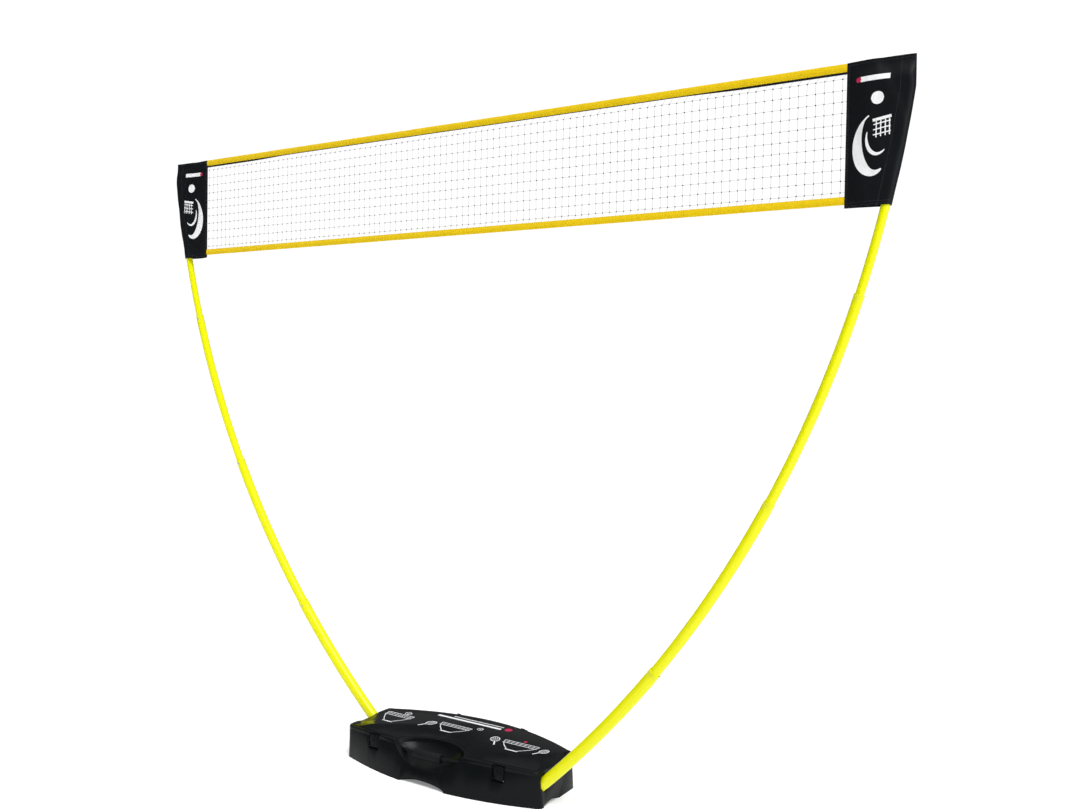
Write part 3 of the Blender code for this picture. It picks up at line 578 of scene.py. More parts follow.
def stitch_tree():
    """Short stitches that lie along a line, end to end with small gaps."""
    graph, sockets = geometry_tree("stitches", (
        ("Pitch", "Float"), ("Length", "Float"), ("Width", "Float"), ("Finish", "Material")))
    spots = spaced(graph, sockets)
    bead = graph.wire("GeometryNodeMeshUVSphere", {}, {"Segments": 6, "Rings": 4, "Radius": 1.0})
    thick = sockets["Width"] * 0.5
    size = graph.vector(sockets["Length"] * 0.5, thick, thick)
    beads = graph.wire("GeometryNodeInstanceOnPoints", {}, {
        "Points": spots, "Instance": bead, "Rotation": facing(graph, "X", "Tangent"),
        "Scale": size})
    return close_tree(graph, beads, sockets["Finish"])


def ring_tree():
    """Rings around a line, such as the ribs of a grip."""
    graph, sockets = geometry_tree("rings", (
        ("Pitch", "Float"), ("Radius", "Float"), ("Thickness", "Float"), ("Finish", "Material")))
    spots = spaced(graph, sockets)
    loop = graph.wire("GeometryNodeCurvePrimitiveCircle", {},
                      {"Resolution": 32, "Radius": sockets["Radius"]})
    section = graph.wire("GeometryNodeCurvePrimitiveCircle", {},
                         {"Resolution": 6, "Radius": sockets["Thickness"]})
    ring = graph.wire("GeometryNodeCurveToMesh", {}, {"Curve": loop, "Profile Curve": section})
    rings = graph.wire("GeometryNodeInstanceOnPoints", {}, {
        "Points": spots, "Instance": ring, "Rotation": facing(graph, "Z", "Tangent")})
    return close_tree(graph, rings, sockets["Finish"])


def screw_tree():
    """Round screw heads with a cross slot, one on each point, facing along its normal."""
    graph, sockets = geometry_tree("screws", (
        ("Radius", "Float"), ("Height", "Float"), ("Finish", "Material")))
    radius, height = sockets["Radius"], sockets["Height"]
    head = graph.wire("GeometryNodeMeshCylinder", {}, {
        "Vertices": 24, "Radius": radius, "Depth": height * 2.0})
    for across, along in ((1.3, 0.26), (0.26, 1.3)):
        size = graph.vector(radius * across, radius * along, height * 2.0)
        bar = graph.wire("GeometryNodeMeshCube", {}, {"Size": size})
        lifted = graph.wire("GeometryNodeTransform", {}, {
            "Geometry": bar, "Translation": graph.vector(z=height * 1.5)})
        cut = graph.node("GeometryNodeMeshBoolean", {"operation": "DIFFERENCE"})
        graph.tree.links.new(head.socket, cut.inputs[0])
        graph.tree.links.new(lifted.socket, cut.inputs[1])
        head = Wire(graph, cut.outputs[0])
    heads = graph.wire("GeometryNodeInstanceOnPoints", {}, {
        "Points": sockets["Geometry"], "Instance": head,
        "Rotation": facing(graph, "Z", "Normal")})
    return close_tree(graph, heads, sockets["Finish"])


def tree_named(name):
    """The geometry tree of that name, built once."""
    return bpy.data.node_groups.get(name) or TREES[name]()


TREES = {"netting": netting_tree, "stitches": stitch_tree, "rings": ring_tree,
         "screws": screw_tree}


# ---------------------------------------------------------------- meshes
def add_item(name, mesh, finish_name=None):
    item = bpy.data.objects.new(name, mesh)
    bpy.context.scene.collection.objects.link(item)
    if finish_name:
        mesh.materials.clear()
        mesh.materials.append(finish(finish_name))
    return item


def plain_mesh(name, points, faces, flat=None):
    """A mesh from lists, with a flat map in metres when one is given for each point."""
    mesh = bpy.data.meshes.new(name)
    mesh.from_pydata([tuple(p) for p in points], [], faces)
    if flat:
        layer = mesh.uv_layers.new(name="flat")
        for loop in mesh.loops:
            layer.data[loop.index].uv = flat[loop.vertex_index]
    mesh.update()
    return mesh


def outwards(mesh):
    """Turn every face of a closed mesh outwards."""
    shape = bmesh.new()
    shape.from_mesh(mesh)
    bmesh.ops.recalc_face_normals(shape, faces=shape.faces)
    shape.to_mesh(mesh)
    shape.free()
    return mesh


def smooth(mesh, angle=38.0):
    mesh.shade_smooth()
    mesh.set_sharp_from_angle(angle=radians(angle))
    return mesh


def settled(item, angle=38.0):
    """Keep what the item's modifiers make as its own mesh, smoothly shaded."""
    mesh = evaluated_mesh(item)
    item.modifiers.clear()
    item.data = mesh
    mesh.name = item.name
    return smooth(mesh, angle)


def merged_copy(node):
    """A clean mesh of a CAD node: whole flat faces, no doubled corners."""
    shape = bmesh.new()
    shape.from_mesh(frame["nodes"][node].data)
    bmesh.ops.remove_doubles(shape, verts=shape.verts, dist=2e-6)
    bmesh.ops.dissolve_limit(shape, angle_limit=radians(0.4), verts=shape.verts,
                             edges=shape.edges)
    mesh = bpy.data.meshes.new(node)
    shape.to_mesh(mesh)
    shape.free()
    if "custom_normal" in mesh.attributes:
        mesh.attributes.remove(mesh.attributes["custom_normal"])
    return mesh


def rounded(node, slot, edge=0.0004, segments=2, corner=35.0):
    """Put a piece with softened edges in the place of a CAD node."""
    item = add_item(f"{node}_piece", merged_copy(node), slot)
    bevel = item.modifiers.new("edges", "BEVEL")
    bevel.width = edge
    bevel.segments = segments
    bevel.angle_limit = radians(corner)
    settled(item)
    return hand_over(item, frame["nodes"][node]["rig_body"], slot, node)


def hand_over(item, body, slot, *nodes):
    """Tie a finished piece to its body, in the place of its CAD nodes; the slot is not used."""
    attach(item, body)
    if nodes:
        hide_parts(*nodes)
    return item


def dressed(node, slot):
    """Give a hidden or tiny CAD node its finish and leave its shape alone."""
    item = frame["nodes"][node]
    item.data.materials.clear()
    item.data.materials.append(finish(slot))


def line_mesh(name, points):
    mesh = bpy.data.meshes.new(name)
    mesh.from_pydata([tuple(p) for p in points], [(i, i + 1) for i in range(len(points) - 1)], [])
    return mesh


def stitched(name, points, body, finish_name, slot):
    """A row of stitches along a line of points."""
    pitch = looks("net").stitch
    item = grown(name, tree_named("stitches"),
                 {"Pitch": pitch, "Length": pitch * 0.8, "Width": STITCH_WIDTH,
                  "Finish": finish(finish_name)}, line_mesh(name, points))
    return hand_over(item, body, slot)


def lofted(name, rings, closed_ring=True, closed_line=False, flat=None):
    """Skin over rings of points; the last ring may join the first."""
    count = len(rings[0])
    points = [p for ring in rings for p in ring]
    faces = []
    lines = len(rings) if closed_line else len(rings) - 1
    across = count if closed_ring else count - 1
    for i in range(lines):
        for j in range(across):
            a, b = i * count, (i + 1) % len(rings) * count
            faces.append((a + j, a + (j + 1) % count, b + (j + 1) % count, b + j))
    return plain_mesh(name, points, faces, flat)


# ---------------------------------------------------------------- drawings
def stroke_rows(points, width):
    """Rows of points across a flat line; the width is one number or one for each point."""
    count = len(points)
    sides = []
    for i, point in enumerate(points):
        before = points[max(0, i - 1)]
        after = points[min(count - 1, i + 1)]
        way = (Vector(after) - Vector(before)).normalized()
        here = width[i] if isinstance(width, list) else width
        across = Vector((-way.y, way.x)) * (here / 2)
        sides.append([Vector(point) + across * (j / 2 - 1) for j in range(5)])
    return sides


def circle_points(middle, radius, count=40):
    return [(middle[0] + radius * cos(2 * pi * i / count),
             middle[1] + radius * sin(2 * pi * i / count)) for i in range(count + 1)]


def print_mesh(name, strokes, discs, lift, thickness):
    """Flat drawn lines and discs as thin closed plates; lift(x, y) places them in space."""
    shape = bmesh.new()

    def plate(rows):
        top = [[shape.verts.new(lift(p.x, p.y, thickness)) for p in row] for row in rows]
        low = [[shape.verts.new(lift(p.x, p.y, 0.0)) for p in row] for row in rows]
        last_row, last = len(rows) - 1, len(rows[0]) - 1
        for i in range(last_row):
            for j in range(last):
                shape.faces.new((top[i][j], top[i + 1][j], top[i + 1][j + 1], top[i][j + 1]))
                shape.faces.new((low[i][j], low[i][j + 1], low[i + 1][j + 1], low[i + 1][j]))
        rim = [(0, j) for j in range(last)] + [(i, last) for i in range(last_row)]
        rim += [(last_row, j) for j in range(last, 0, -1)]
        rim += [(i, 0) for i in range(last_row, 0, -1)]
        for k, (i, j) in enumerate(rim):
            m, n = rim[(k + 1) % len(rim)]
            shape.faces.new((top[i][j], top[m][n], low[m][n], low[i][j]))

    for points, width in strokes:
        plate(stroke_rows(points, width))
    for middle, radius in discs:
        rows = []
        for i in range(13):
            x = radius * (2 * i / 12 - 1) * 0.999
            half = sqrt(radius ** 2 - x ** 2)
            rows.append([Vector((middle[0] + x, middle[1] + half * (j / 6 - 1)))
                         for j in range(13)])
        plate(rows)
    mesh = bpy.data.meshes.new(name)
    bmesh.ops.recalc_face_normals(shape, faces=shape.faces)
    shape.to_mesh(mesh)
    shape.free()
    return mesh


def printed(name, strokes, discs, lift, thickness, look, body, slot):
    """A flat drawing as a finished piece."""
    item = add_item(name, print_mesh(name, strokes, discs, lift, thickness), look)
    return hand_over(item, body, slot)


def densified(points, step):
    """The same line with a point at least every step."""
    dense = [points[0]]
    for a, b in zip(points, points[1:]):
        count = max(1, round(hypot(b[0] - a[0], b[1] - a[1]) / step))
        dense += [(a[0] + (b[0] - a[0]) * i / count, a[1] + (b[1] - a[1]) * i / count)
                  for i in range(1, count + 1)]
    return dense


def ball_strokes(middle, radius, width):
    """A ball with three curved seams."""
    strokes = [(circle_points(middle, radius), width)]
    for k in range(3):
        start = 0.5 + k * 2 * pi / 3
        edge = (middle[0] + radius * cos(start), middle[1] + radius * sin(start))
        bow = [(middle[0] + radius * t * cos(start + 0.9 * (1 - t)),
                middle[1] + radius * t * sin(start + 0.9 * (1 - t)))
               for t in (i / 10 for i in range(11))]
        strokes.append((bow[:-1] + [edge], width))
    return strokes


def stand_strokes(middle, reach, height, width):
    """A small net on two bowed poles over a case, in line work."""
    x0, y0 = middle
    case_half, band = reach * 0.36, height * 0.30
    strokes = [([(x0 - case_half, y0), (x0 + case_half, y0)], width * 2.2)]
    for sign in (-1, 1):
        pole = [(x0 + sign * (case_half * 0.7 + (reach - case_half * 0.7) * sin(t * pi / 2)),
                 y0 + height * t) for t in (i / 12 for i in range(13))]
        strokes.append((pole, width))
    for share in (0.0, 0.5, 1.0):
        level = y0 + height - band * share
        strokes.append(([(x0 - reach, level), (x0 + reach, level)],
                        width if share != 0.5 else width * 0.6))
    for i in range(1, 8):
        x = x0 - reach + 2 * reach * i / 8
        strokes.append(([(x, y0 + height - band), (x, y0 + height)], width * 0.6))
    return strokes


def racket_strokes(middle, tilt, size, width):
    """A racket: an oval head with strings and a straight handle."""
    def put(x, y):
        return (middle[0] + x * cos(tilt) - y * sin(tilt),
                middle[1] + x * sin(tilt) + y * cos(tilt))

    head = [put(size * 0.34 * cos(a), size * 0.46 * sin(a))
            for a in (2 * pi * i / 32 for i in range(33))]
    strokes = [(head, width), ([put(0, -size * 0.46), put(0, -size * 1.15)], width * 1.7)]
    for x in (-0.15, 0.0, 0.15):
        half = 0.46 * sqrt(1 - (x / 0.34) ** 2)
        strokes.append(([put(size * x, -size * half), put(size * x, size * half)], width * 0.4))
    for y in (-0.22, 0.0, 0.22):
        half = 0.34 * sqrt(1 - (y / 0.46) ** 2)
        strokes.append(([put(-size * half, size * y), put(size * half, size * y)], width * 0.4))
    return strokes


# ---------------------------------------------------------------- poles
def pole_place(sign):
    """Where the frame of a pole's circle stands."""
    turn = Matrix.Rotation(POLE_TURN if sign > 0 else POLE_TURN + pi, 4, "Z")
    return Matrix.Translation(turn @ Vector((ARC_X, -LANE, ARC_Z))) @ turn


def section_angles(k):
    start = FOOT_ANGLE if k == 0 else RIM_ANGLES[k - 1] - INSERT / ARC_RADIUS
    return start, TIP_ANGLE if k == 3 else RIM_ANGLES[k]


def bent_tube(name, place, outside, angles, lip):
    """A tube along the circle, with a rolled rim at its upper end."""
    inside = outside - TUBE_WALL
    sides = looks("poles").sides
    start, end = angles
    steps = max(6, round(ARC_RADIUS * (end - start) / TUBE_STEP))
    mm = 0.001 / ARC_RADIUS
    outer = [(start, outside - 0.0005), (start + 0.5 * mm, outside)]
    outer += [(start + (end - start) * i / steps, outside) for i in range(1, steps)]
    outer += [(end - 3.4 * mm, outside), (end - 3.0 * mm, outside + lip * 0.8),
              (end - 2.4 * mm, outside + lip), (end - 0.7 * mm, outside + lip),
              (end - 0.2 * mm, outside + lip * 0.3), (end, outside - 0.0004)]
    inner = [(end - (end - start) * i / steps, inside) for i in range(1, steps)]
    profile = outer + [(end, inside + 0.0003), (end - 0.4 * mm, inside)] + inner
    profile.append((start, inside))
    rings, flat = [], []
    for angle, radius in profile:
        ring = []
        for j in range(sides):
            a = 2 * pi * j / sides
            reach = ARC_RADIUS + radius * cos(a)
            ring.append(place @ Vector((reach * cos(angle), radius * sin(a), reach * sin(angle))))
            flat.append((abs(a / pi - 1.0), angle * ARC_RADIUS))
        rings.append(ring)
    return outwards(lofted(name, rings, closed_line=True, flat=flat))


def drilled(item, place, angle):
    """A round hole through the wall on the button's side."""
    middle = Vector((ARC_RADIUS * cos(angle), 0.0, ARC_RADIUS * sin(angle)))
    shape = bmesh.new()
    bmesh.ops.create_cone(shape, cap_ends=True, segments=32, radius1=BUTTON_HOLE,
                          radius2=BUTTON_HOLE, depth=DRILL_LENGTH,
                          matrix=place @ Matrix.Translation(middle + Vector((0, DRILL_START, 0)))
                          @ Matrix.Rotation(pi / 2, 4, "X"))
    mesh = bpy.data.meshes.new("drill")
    shape.to_mesh(mesh)
    shape.free()
    drill = add_item("drill", mesh)
    cut = item.modifiers.new("hole", "BOOLEAN")
    cut.object = drill
    cut.solver = "EXACT"
    mesh = evaluated_mesh(item)
    item.modifiers.clear()
    item.data = mesh
    bpy.data.objects.remove(drill)


def button_angle(k):
    return RIM_ANGLES[k] - BUTTON_DROP / ARC_RADIUS


def pole_reach(height):
    in_plane = ARC_X + sqrt(ARC_RADIUS ** 2 - (height - ARC_Z) ** 2)
    return in_plane * cos(POLE_TURN) + LANE * sin(POLE_TURN)


# ---------------------------------------------------------------- net
def ripple(x, z, size):
    """A gentle pull in the cloth, the same on both of its layers."""
    slow = noise.noise(Vector((x * 9.0 + z * 5.0, z * 9.0, 3.1)))
    quick = noise.noise(Vector((x * 42.0 + z * 30.0, z * 26.0, 7.7)))
    return size * (0.65 * slow + 0.5 * quick)


def folded_band(name, reach, low, high, fullness, fold_up, wrinkle, height_at=None):
    """A band folded over a cord: one strip down the front, round the fold and up the back."""
    tall = high - low

    def half_depth(share):
        edge = 0.16 + 0.84 * sin(pi * min(1.0, max(0.0, share - 0.12) / 0.88)) ** 0.8
        close = min(1.0, (1.0 - share) / 0.05) ** 0.5 if share < 1.0 else 0.0
        return fullness * edge * close

    way = [(-half_depth(s), s) for s in BAND_SHARES]
    way += [(half_depth(s), s) for s in reversed(BAND_SHARES[:-1])]
    runs = [0.0]
    for a, b in zip(way, way[1:]):
        runs.append(runs[-1] + hypot(b[0] - a[0], (b[1] - a[1]) * tall))
    steps = round(2 * reach / BAND_STEP)
    rings, flat = [], []
    for i in range(steps + 1):
        x = -reach + 2 * reach * i / steps
        span = tall * (height_at(x) if height_at else 1.0)
        ring = []
        for (depth, share), run in zip(way, runs):
            z = high - span * (1.0 - share) if fold_up else low + span * (1.0 - share)
            pinch = 0.25 + 0.75 * share
            ring.append((x, depth + ripple(x, z, wrinkle) * pinch, z))
            flat.append((x, run))
        rings.append(ring)
    item = add_item(name, lofted(name, rings, closed_ring=False, flat=flat))
    wall = item.modifiers.new("cloth", "SOLIDIFY")
    wall.thickness = BAND_CLOTH
    wall.offset = 0.0
    return item, runs[-1]


def seam_line(reach, z, depth, wrinkle, share, sign):
    steps = round(2 * reach / SEAM_STEP)
    xs = [-reach + 2 * reach * i / steps for i in range(steps + 1)]
    pinch = 0.25 + 0.75 * share
    return [(x, sign * depth + ripple(x, z, wrinkle) * pinch, z) for x in xs]


def cloth_smooth(item, finish_name):
    mesh = settled(item, 60.0)
    mesh.materials.clear()
    mesh.materials.append(finish(finish_name))
    return item


# ---------------------------------------------------------------- operators
class BuildStage(bpy.types.Operator):
    """Lay the pale floor and set the soft lights and the camera"""

    bl_idname = "net_stand.stage"
    bl_label = "Stage"

    def execute(self, context):
        scene = context.scene
        half = FLOOR_HALF
        points = [(-half, -half, 0.0), (half, -half, 0.0), (half, half, 0.0), (-half, half, 0.0)]
        floor = add_item("floor", plain_mesh("floor", points, [(0, 1, 2, 3)]), "studio_floor")
        sun = self.add_light(scene, "key_light", "SUN", SUN_POWER, Vector(SUN_WAY), (0, 0, 0))
        sun.angle = radians(SUN_SPREAD)
        way = Vector(FILL_TARGET) - Vector(FILL_PLACE)
        fill = self.add_light(scene, "fill_light", "AREA", FILL_POWER, way, FILL_PLACE)
        fill.size = FILL_SIZE
        self.set_world(scene)
        self.set_camera(scene)
        scene.view_settings.view_transform = "Standard"
        return {"FINISHED"}

    def add_light(self, scene, name, kind, power, way, place):
        lamp = bpy.data.lights.new(name, kind)
        lamp.energy = power
        item = bpy.data.objects.new(name, lamp)
        scene.collection.objects.link(item)
        item.location = place
        item.rotation_euler = way.to_track_quat("-Z", "Y").to_euler()
        return lamp

    def set_world(self, scene):
        """White to look at, and dimmer where it lights and mirrors, as a studio's soft walls."""
        world = bpy.data.worlds.new("studio")
        scene.world = world
        world.use_nodes = True
        graph = Graph(world.node_tree)
        world.node_tree.nodes.clear()
        seen = graph.wire("ShaderNodeLightPath")
        height = graph.parts(graph.wire("ShaderNodeTexCoord", output=0))[2]
        walls = 0.10 + height.ramp(0.45, 0.95) * 1.10
        glow = graph.wire("ShaderNodeBackground", {}, {
            "Color": (1.0, 1.0, 1.0, 1.0), "Strength": walls * (1.0 - seen) + seen * 1.05})
        graph.node("ShaderNodeOutputWorld", {}, {0: glow})

    def set_camera(self, scene):
        yaw, pitch, roll = (radians(a) for a in (CAMERA_YAW, CAMERA_PITCH, CAMERA_ROLL))
        ahead = Vector((-sin(yaw) * cos(pitch), cos(yaw) * cos(pitch), sin(pitch)))
        level = Vector((cos(yaw), sin(yaw), 0.0))
        rise = level.cross(ahead)
        right = cos(roll) * level + sin(roll) * rise
        up = cos(roll) * rise - sin(roll) * level
        lens = bpy.data.cameras.new("camera")
        lens.lens = looks("stage").lens
        lens.sensor_width = 36.0
        lens.sensor_fit = "HORIZONTAL"
        camera = bpy.data.objects.new("camera", lens)
        scene.collection.objects.link(camera)
        turn = Matrix((right, up, -ahead)).transposed().to_4x4()
        camera.matrix_world = Matrix.Translation(CAMERA_PLACE) @ turn
        scene.camera = camera


class BuildCase(bpy.types.Operator):
    """Mould the case's base with softened edges"""

    bl_idname = "net_stand.case"
    bl_label = "Case base"

    def execute(self, context):
        rounded("base_shell", "case_plastic", looks("case").edge)
        return {"FINISHED"}


class BuildLid(bpy.types.Operator):
    """Mould the lid and lay its glossy sheet with the line drawings"""

    bl_idname = "net_stand.lid"
    bl_label = "Lid"

    def execute(self, context):
        rounded("lid_shell", "case_plastic", looks("case").edge)
        rounded("lid_print_panel", "lid_print", 0.0003)
        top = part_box("lid_print_panel")[1].z
        width = looks("case").line_width

        def lift(x, y, rise):
            return (x, y, top - 0.00005 + rise)

        strokes = stand_strokes((-0.318, 0.004), 0.060, 0.088, width)
        strokes += ball_strokes((-0.302, 0.112), 0.013, width * 0.7)
        strokes += stand_strokes((-0.070, 0.036), 0.066, 0.074, width)
        strokes += racket_strokes((-0.168, 0.078), -0.55, 0.046, width)
        strokes += ball_strokes((0.022, 0.124), 0.011, width * 0.7)
        strokes += stand_strokes((0.228, 0.014), 0.070, 0.076, width)
        strokes += racket_strokes((0.122, 0.074), 0.5, 0.048, width)
        strokes += racket_strokes((0.330, 0.066), -0.5, 0.040, width)
        strokes += [([(-0.20, 0.166), (0.085, 0.166)], 0.0125),
                    ([(-0.14, 0.186), (0.085, 0.186)], 0.0050)]
        printed("lid_drawings", strokes, [], lift, LID_INK_THICK, "lid_ink", "lid", "lid_print")
        dots = [((0.112, 0.175), 0.0145), ((0.228, 0.108), 0.0070)]
        printed("lid_accent", [], dots, lift, LID_INK_THICK, "accent_ink", "lid", "lid_print")
        return {"FINISHED"}


class BuildHandle(bpy.types.Operator):
    """Make the carrying bar and its ribbed grip"""

    bl_idname = "net_stand.handle"
    bl_label = "Carry handle"

    def execute(self, context):
        rounded("carry_bar", "black_nylon")
        rounded("carry_grip", "grip_rubber", 0.0016, 4)
        low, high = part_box("carry_grip")
        middle = (low.x + high.x) / 2
        half = (high.x - low.x) / 2 * GRIP_SHARE
        front = low.y + GRIP_BEHIND
        level = (low.z + high.z) / 2
        spots = []
        for i in range(41):
            x = half * (i / 20 - 1)
            spots.append((middle + x, front + GRIP_BOW * (x / BAR_REACH) ** 2, level))
        ribs = grown("grip_ribs", tree_named("rings"),
                     {"Pitch": looks("case").rib_pitch, "Radius": RIB_RADIUS,
                      "Thickness": RIB_THICK, "Finish": finish("grip_rubber")},
                     line_mesh("grip_ribs", spots))
        hand_over(ribs, "base", "grip_rubber")
        return {"FINISHED"}


class BuildLatches(bpy.types.Operator):
    """Make the two front latches with their finger ribs"""

    bl_idname = "net_stand.latches"
    bl_label = "Latches"

    def execute(self, context):
        for side, _ in SIDES:
            rounded(f"{side}_latch", "black_nylon", 0.0005)
            rounded(f"{side}_latch_pin", "steel", 0.0003)
            low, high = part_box(f"{side}_latch")
            start, stop = low.x + LATCH_RIB_INSET, high.x - LATCH_RIB_INSET
            levels = [high.z - LATCH_RIB_TOP - LATCH_RIB_STEP * i for i in range(5)]
            strokes = [([(start, z), (stop, z)], LATCH_RIB_WIDTH) for z in levels]

            def lift(x, z, rise, front=low.y + LATCH_FRONT_REST):
                return (x, front - rise, z)

            printed(f"{side}_latch_ribs", strokes, [], lift, LATCH_RIB_THICK, "black_nylon",
                    f"{side}_latch", "black_nylon")
        return {"FINISHED"}


class BuildHinges(bpy.types.Operator):
    """Make the lid hinges and their screws"""

    bl_idname = "net_stand.hinges"
    bl_label = "Hinges"

    def execute(self, context):
        for side, _ in SIDES:
            for part, slot in (("base_hinge_leaf", "black_nylon"),
                               ("lid_hinge_leaf", "black_nylon"), ("hinge_pin", "steel")):
                rounded(f"{side}_{part}", slot, 0.0003)
        spots = []
        for side, _ in SIDES:
            low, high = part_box(f"{side}_base_hinge_leaf")
            middle = (low.x + high.x) / 2
            spots += [(middle, self.leaf_back(side, low.z), low.z + rise) for rise in SCREW_RISES]
        screws = grown("hinge_screws", tree_named("screws"),
                       {"Radius": SCREW_RADIUS, "Height": SCREW_HEIGHT,
                        "Finish": finish("steel")}, self.loose_points(spots))
        hand_over(screws, "base", "steel")
        return {"FINISHED"}

    def loose_points(self, spots):
        """A mesh of loose points, each in the middle of a tiny triangle on its spot."""
        shape = bmesh.new()
        for x, y, z in spots:
            corners = [shape.verts.new(p) for p in ((x - SPOT_REACH, y, z), (x, y, z + SPOT_REACH),
                                                    (x + SPOT_REACH, y, z))]
            shape.faces.new(corners)
        bmesh.ops.poke(shape, faces=shape.faces)
        centres = [v for v in shape.verts if len(v.link_edges) == 3 and len(v.link_faces) == 3]
        bmesh.ops.delete(shape, geom=[v for v in shape.verts if v not in centres], context="VERTS")
        mesh = bpy.data.meshes.new("screw_spots")
        shape.to_mesh(mesh)
        shape.free()
        return mesh

    def leaf_back(self, side, foot):
        """The outer face of the flat leaf, below the barrel."""
        mesh = frame["nodes"][f"{side}_base_hinge_leaf"].data
        return max(v.co.y for v in mesh.vertices if v.co.z < foot + 0.002)


class BuildPoles(bpy.types.Operator):
    """Draw the eight yellow tubes with their rolled rims and button holes"""

    bl_idname = "net_stand.poles"
    bl_label = "Pole tubes"

    def execute(self, context):
        lip = looks("poles").lip
        for side, sign in SIDES:
            place = pole_place(sign)
            for k in range(4):
                node = f"{side}_tube_{k + 1}"
                mesh = bent_tube(node, place, TUBE_DIAMETERS[k] / 2, section_angles(k),
                                 lip if k < 3 else 0.0)
                item = add_item(f"{node}_piece", mesh, "pole_yellow")
                if k < 3:
                    drilled(item, place, button_angle(k))
                if k > 0:
                    drilled(item, place, button_angle(k - 1))
                smooth(item.data, 40.0)
                hand_over(item, frame["nodes"][node]["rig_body"], "pole_yellow", node)
        return {"FINISHED"}


class BuildFittings(bpy.types.Operator):
    """Make the snap buttons, their springs, the end caps and the sockets"""

    bl_idname = "net_stand.fittings"
    bl_label = "Pole fittings"

    def execute(self, context):
        for side, _ in SIDES:
            for k in range(1, 4):
                rounded(f"{side}_button_{k}", "steel", 0.0004, 3, 20.0)
                dressed(f"{side}_button_spring_{k}", "steel")
            rounded(f"{side}_tip_cap", "black_nylon", 0.0003)
            rounded(f"{side}_foot_plug", "black_nylon", 0.0003)
            rounded(f"{side}_pole_socket", "black_nylon", 0.0006)
        return {"FINISHED"}


class BuildNetting(bpy.types.Operator):
    """Knot the netting between the two tapes"""

    bl_idname = "net_stand.netting"
    bl_label = "Netting"

    def execute(self, context):
        net = looks("net")
        low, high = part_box("net_mesh")
        values = {"Width": high.x - low.x, "Low": low.z - NET_OVERLAP,
                  "High": high.z + NET_OVERLAP, "Margin": NET_MARGIN,
                  "Columns": net.columns, "Rows": net.rows,
                  "Twine": net.twine, "Knot": net.knot, "Wave": net.wave,
                  # the knots take the darker copy of the twine's colour, which is painted shade
                  "Finish": finish("net_twine"), "Knot finish": finish("net_knot")}
        item = grown("netting", tree_named("netting"), values)
        hand_over(item, "net", "net_twine", "net_mesh")
        return {"FINISHED"}


class BuildTapes(bpy.types.Operator):
    """Fold the yellow tapes over their cords, with the black binding under the top one"""

    bl_idname = "net_stand.tapes"
    bl_label = "Tapes"

    def execute(self, context):
        for name, fold_up in (("top_tape", True), ("bottom_tape", False)):
            low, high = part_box(name)
            reach, tall = high.x, high.z - low.z
            item, cut = folded_band(f"{name}_piece", reach, low.z, high.z, TAPE_HALF, fold_up,
                                    TAPE_WRINKLE)
            cloth_smooth(item, "tape_yellow")
            hand_over(item, "net", "tape_yellow", name)
            for share, tag in ((0.17, "outer"), (0.24, "inner")):
                z = high.z - tall * (1 - share) if fold_up else low.z + tall * (1 - share)
                for sign, face in ((-1, "front"), (1, "back")):
                    points = seam_line(reach - 0.002, z, 0.0012 + 0.006 * (share - 0.16),
                                       TAPE_WRINKLE, share, sign)
                    stitched(f"{name}_{face}_{tag}_stitches", points, "net", "tape_thread",
                             "tape_yellow")
        low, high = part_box("top_binding")

        def drawn_in(x):
            """Share of the binding's height that shows: less of it in the middle."""
            out = (abs(x + 0.02) - 0.80) / 0.28
            share = min(1.0, max(0.0, out))
            return 0.30 + 0.70 * share * share * (3 - 2 * share)

        item, _ = folded_band("top_binding_piece", high.x, low.z, high.z, BINDING_HALF, False,
                              BINDING_WRINKLE, drawn_in)
        for vertex in item.data.vertices:
            share = drawn_in(vertex.co.x)
            vertex.co.z += (high.z - low.z) * (1.0 - share)
        cloth_smooth(item, "panel_fabric")
        hand_over(item, "net", "panel_fabric", "top_binding")
        for cord in ("top_cord", "bottom_cord"):
            rounded(cord, "net_twine", 0.0003)
        return {"FINISHED"}


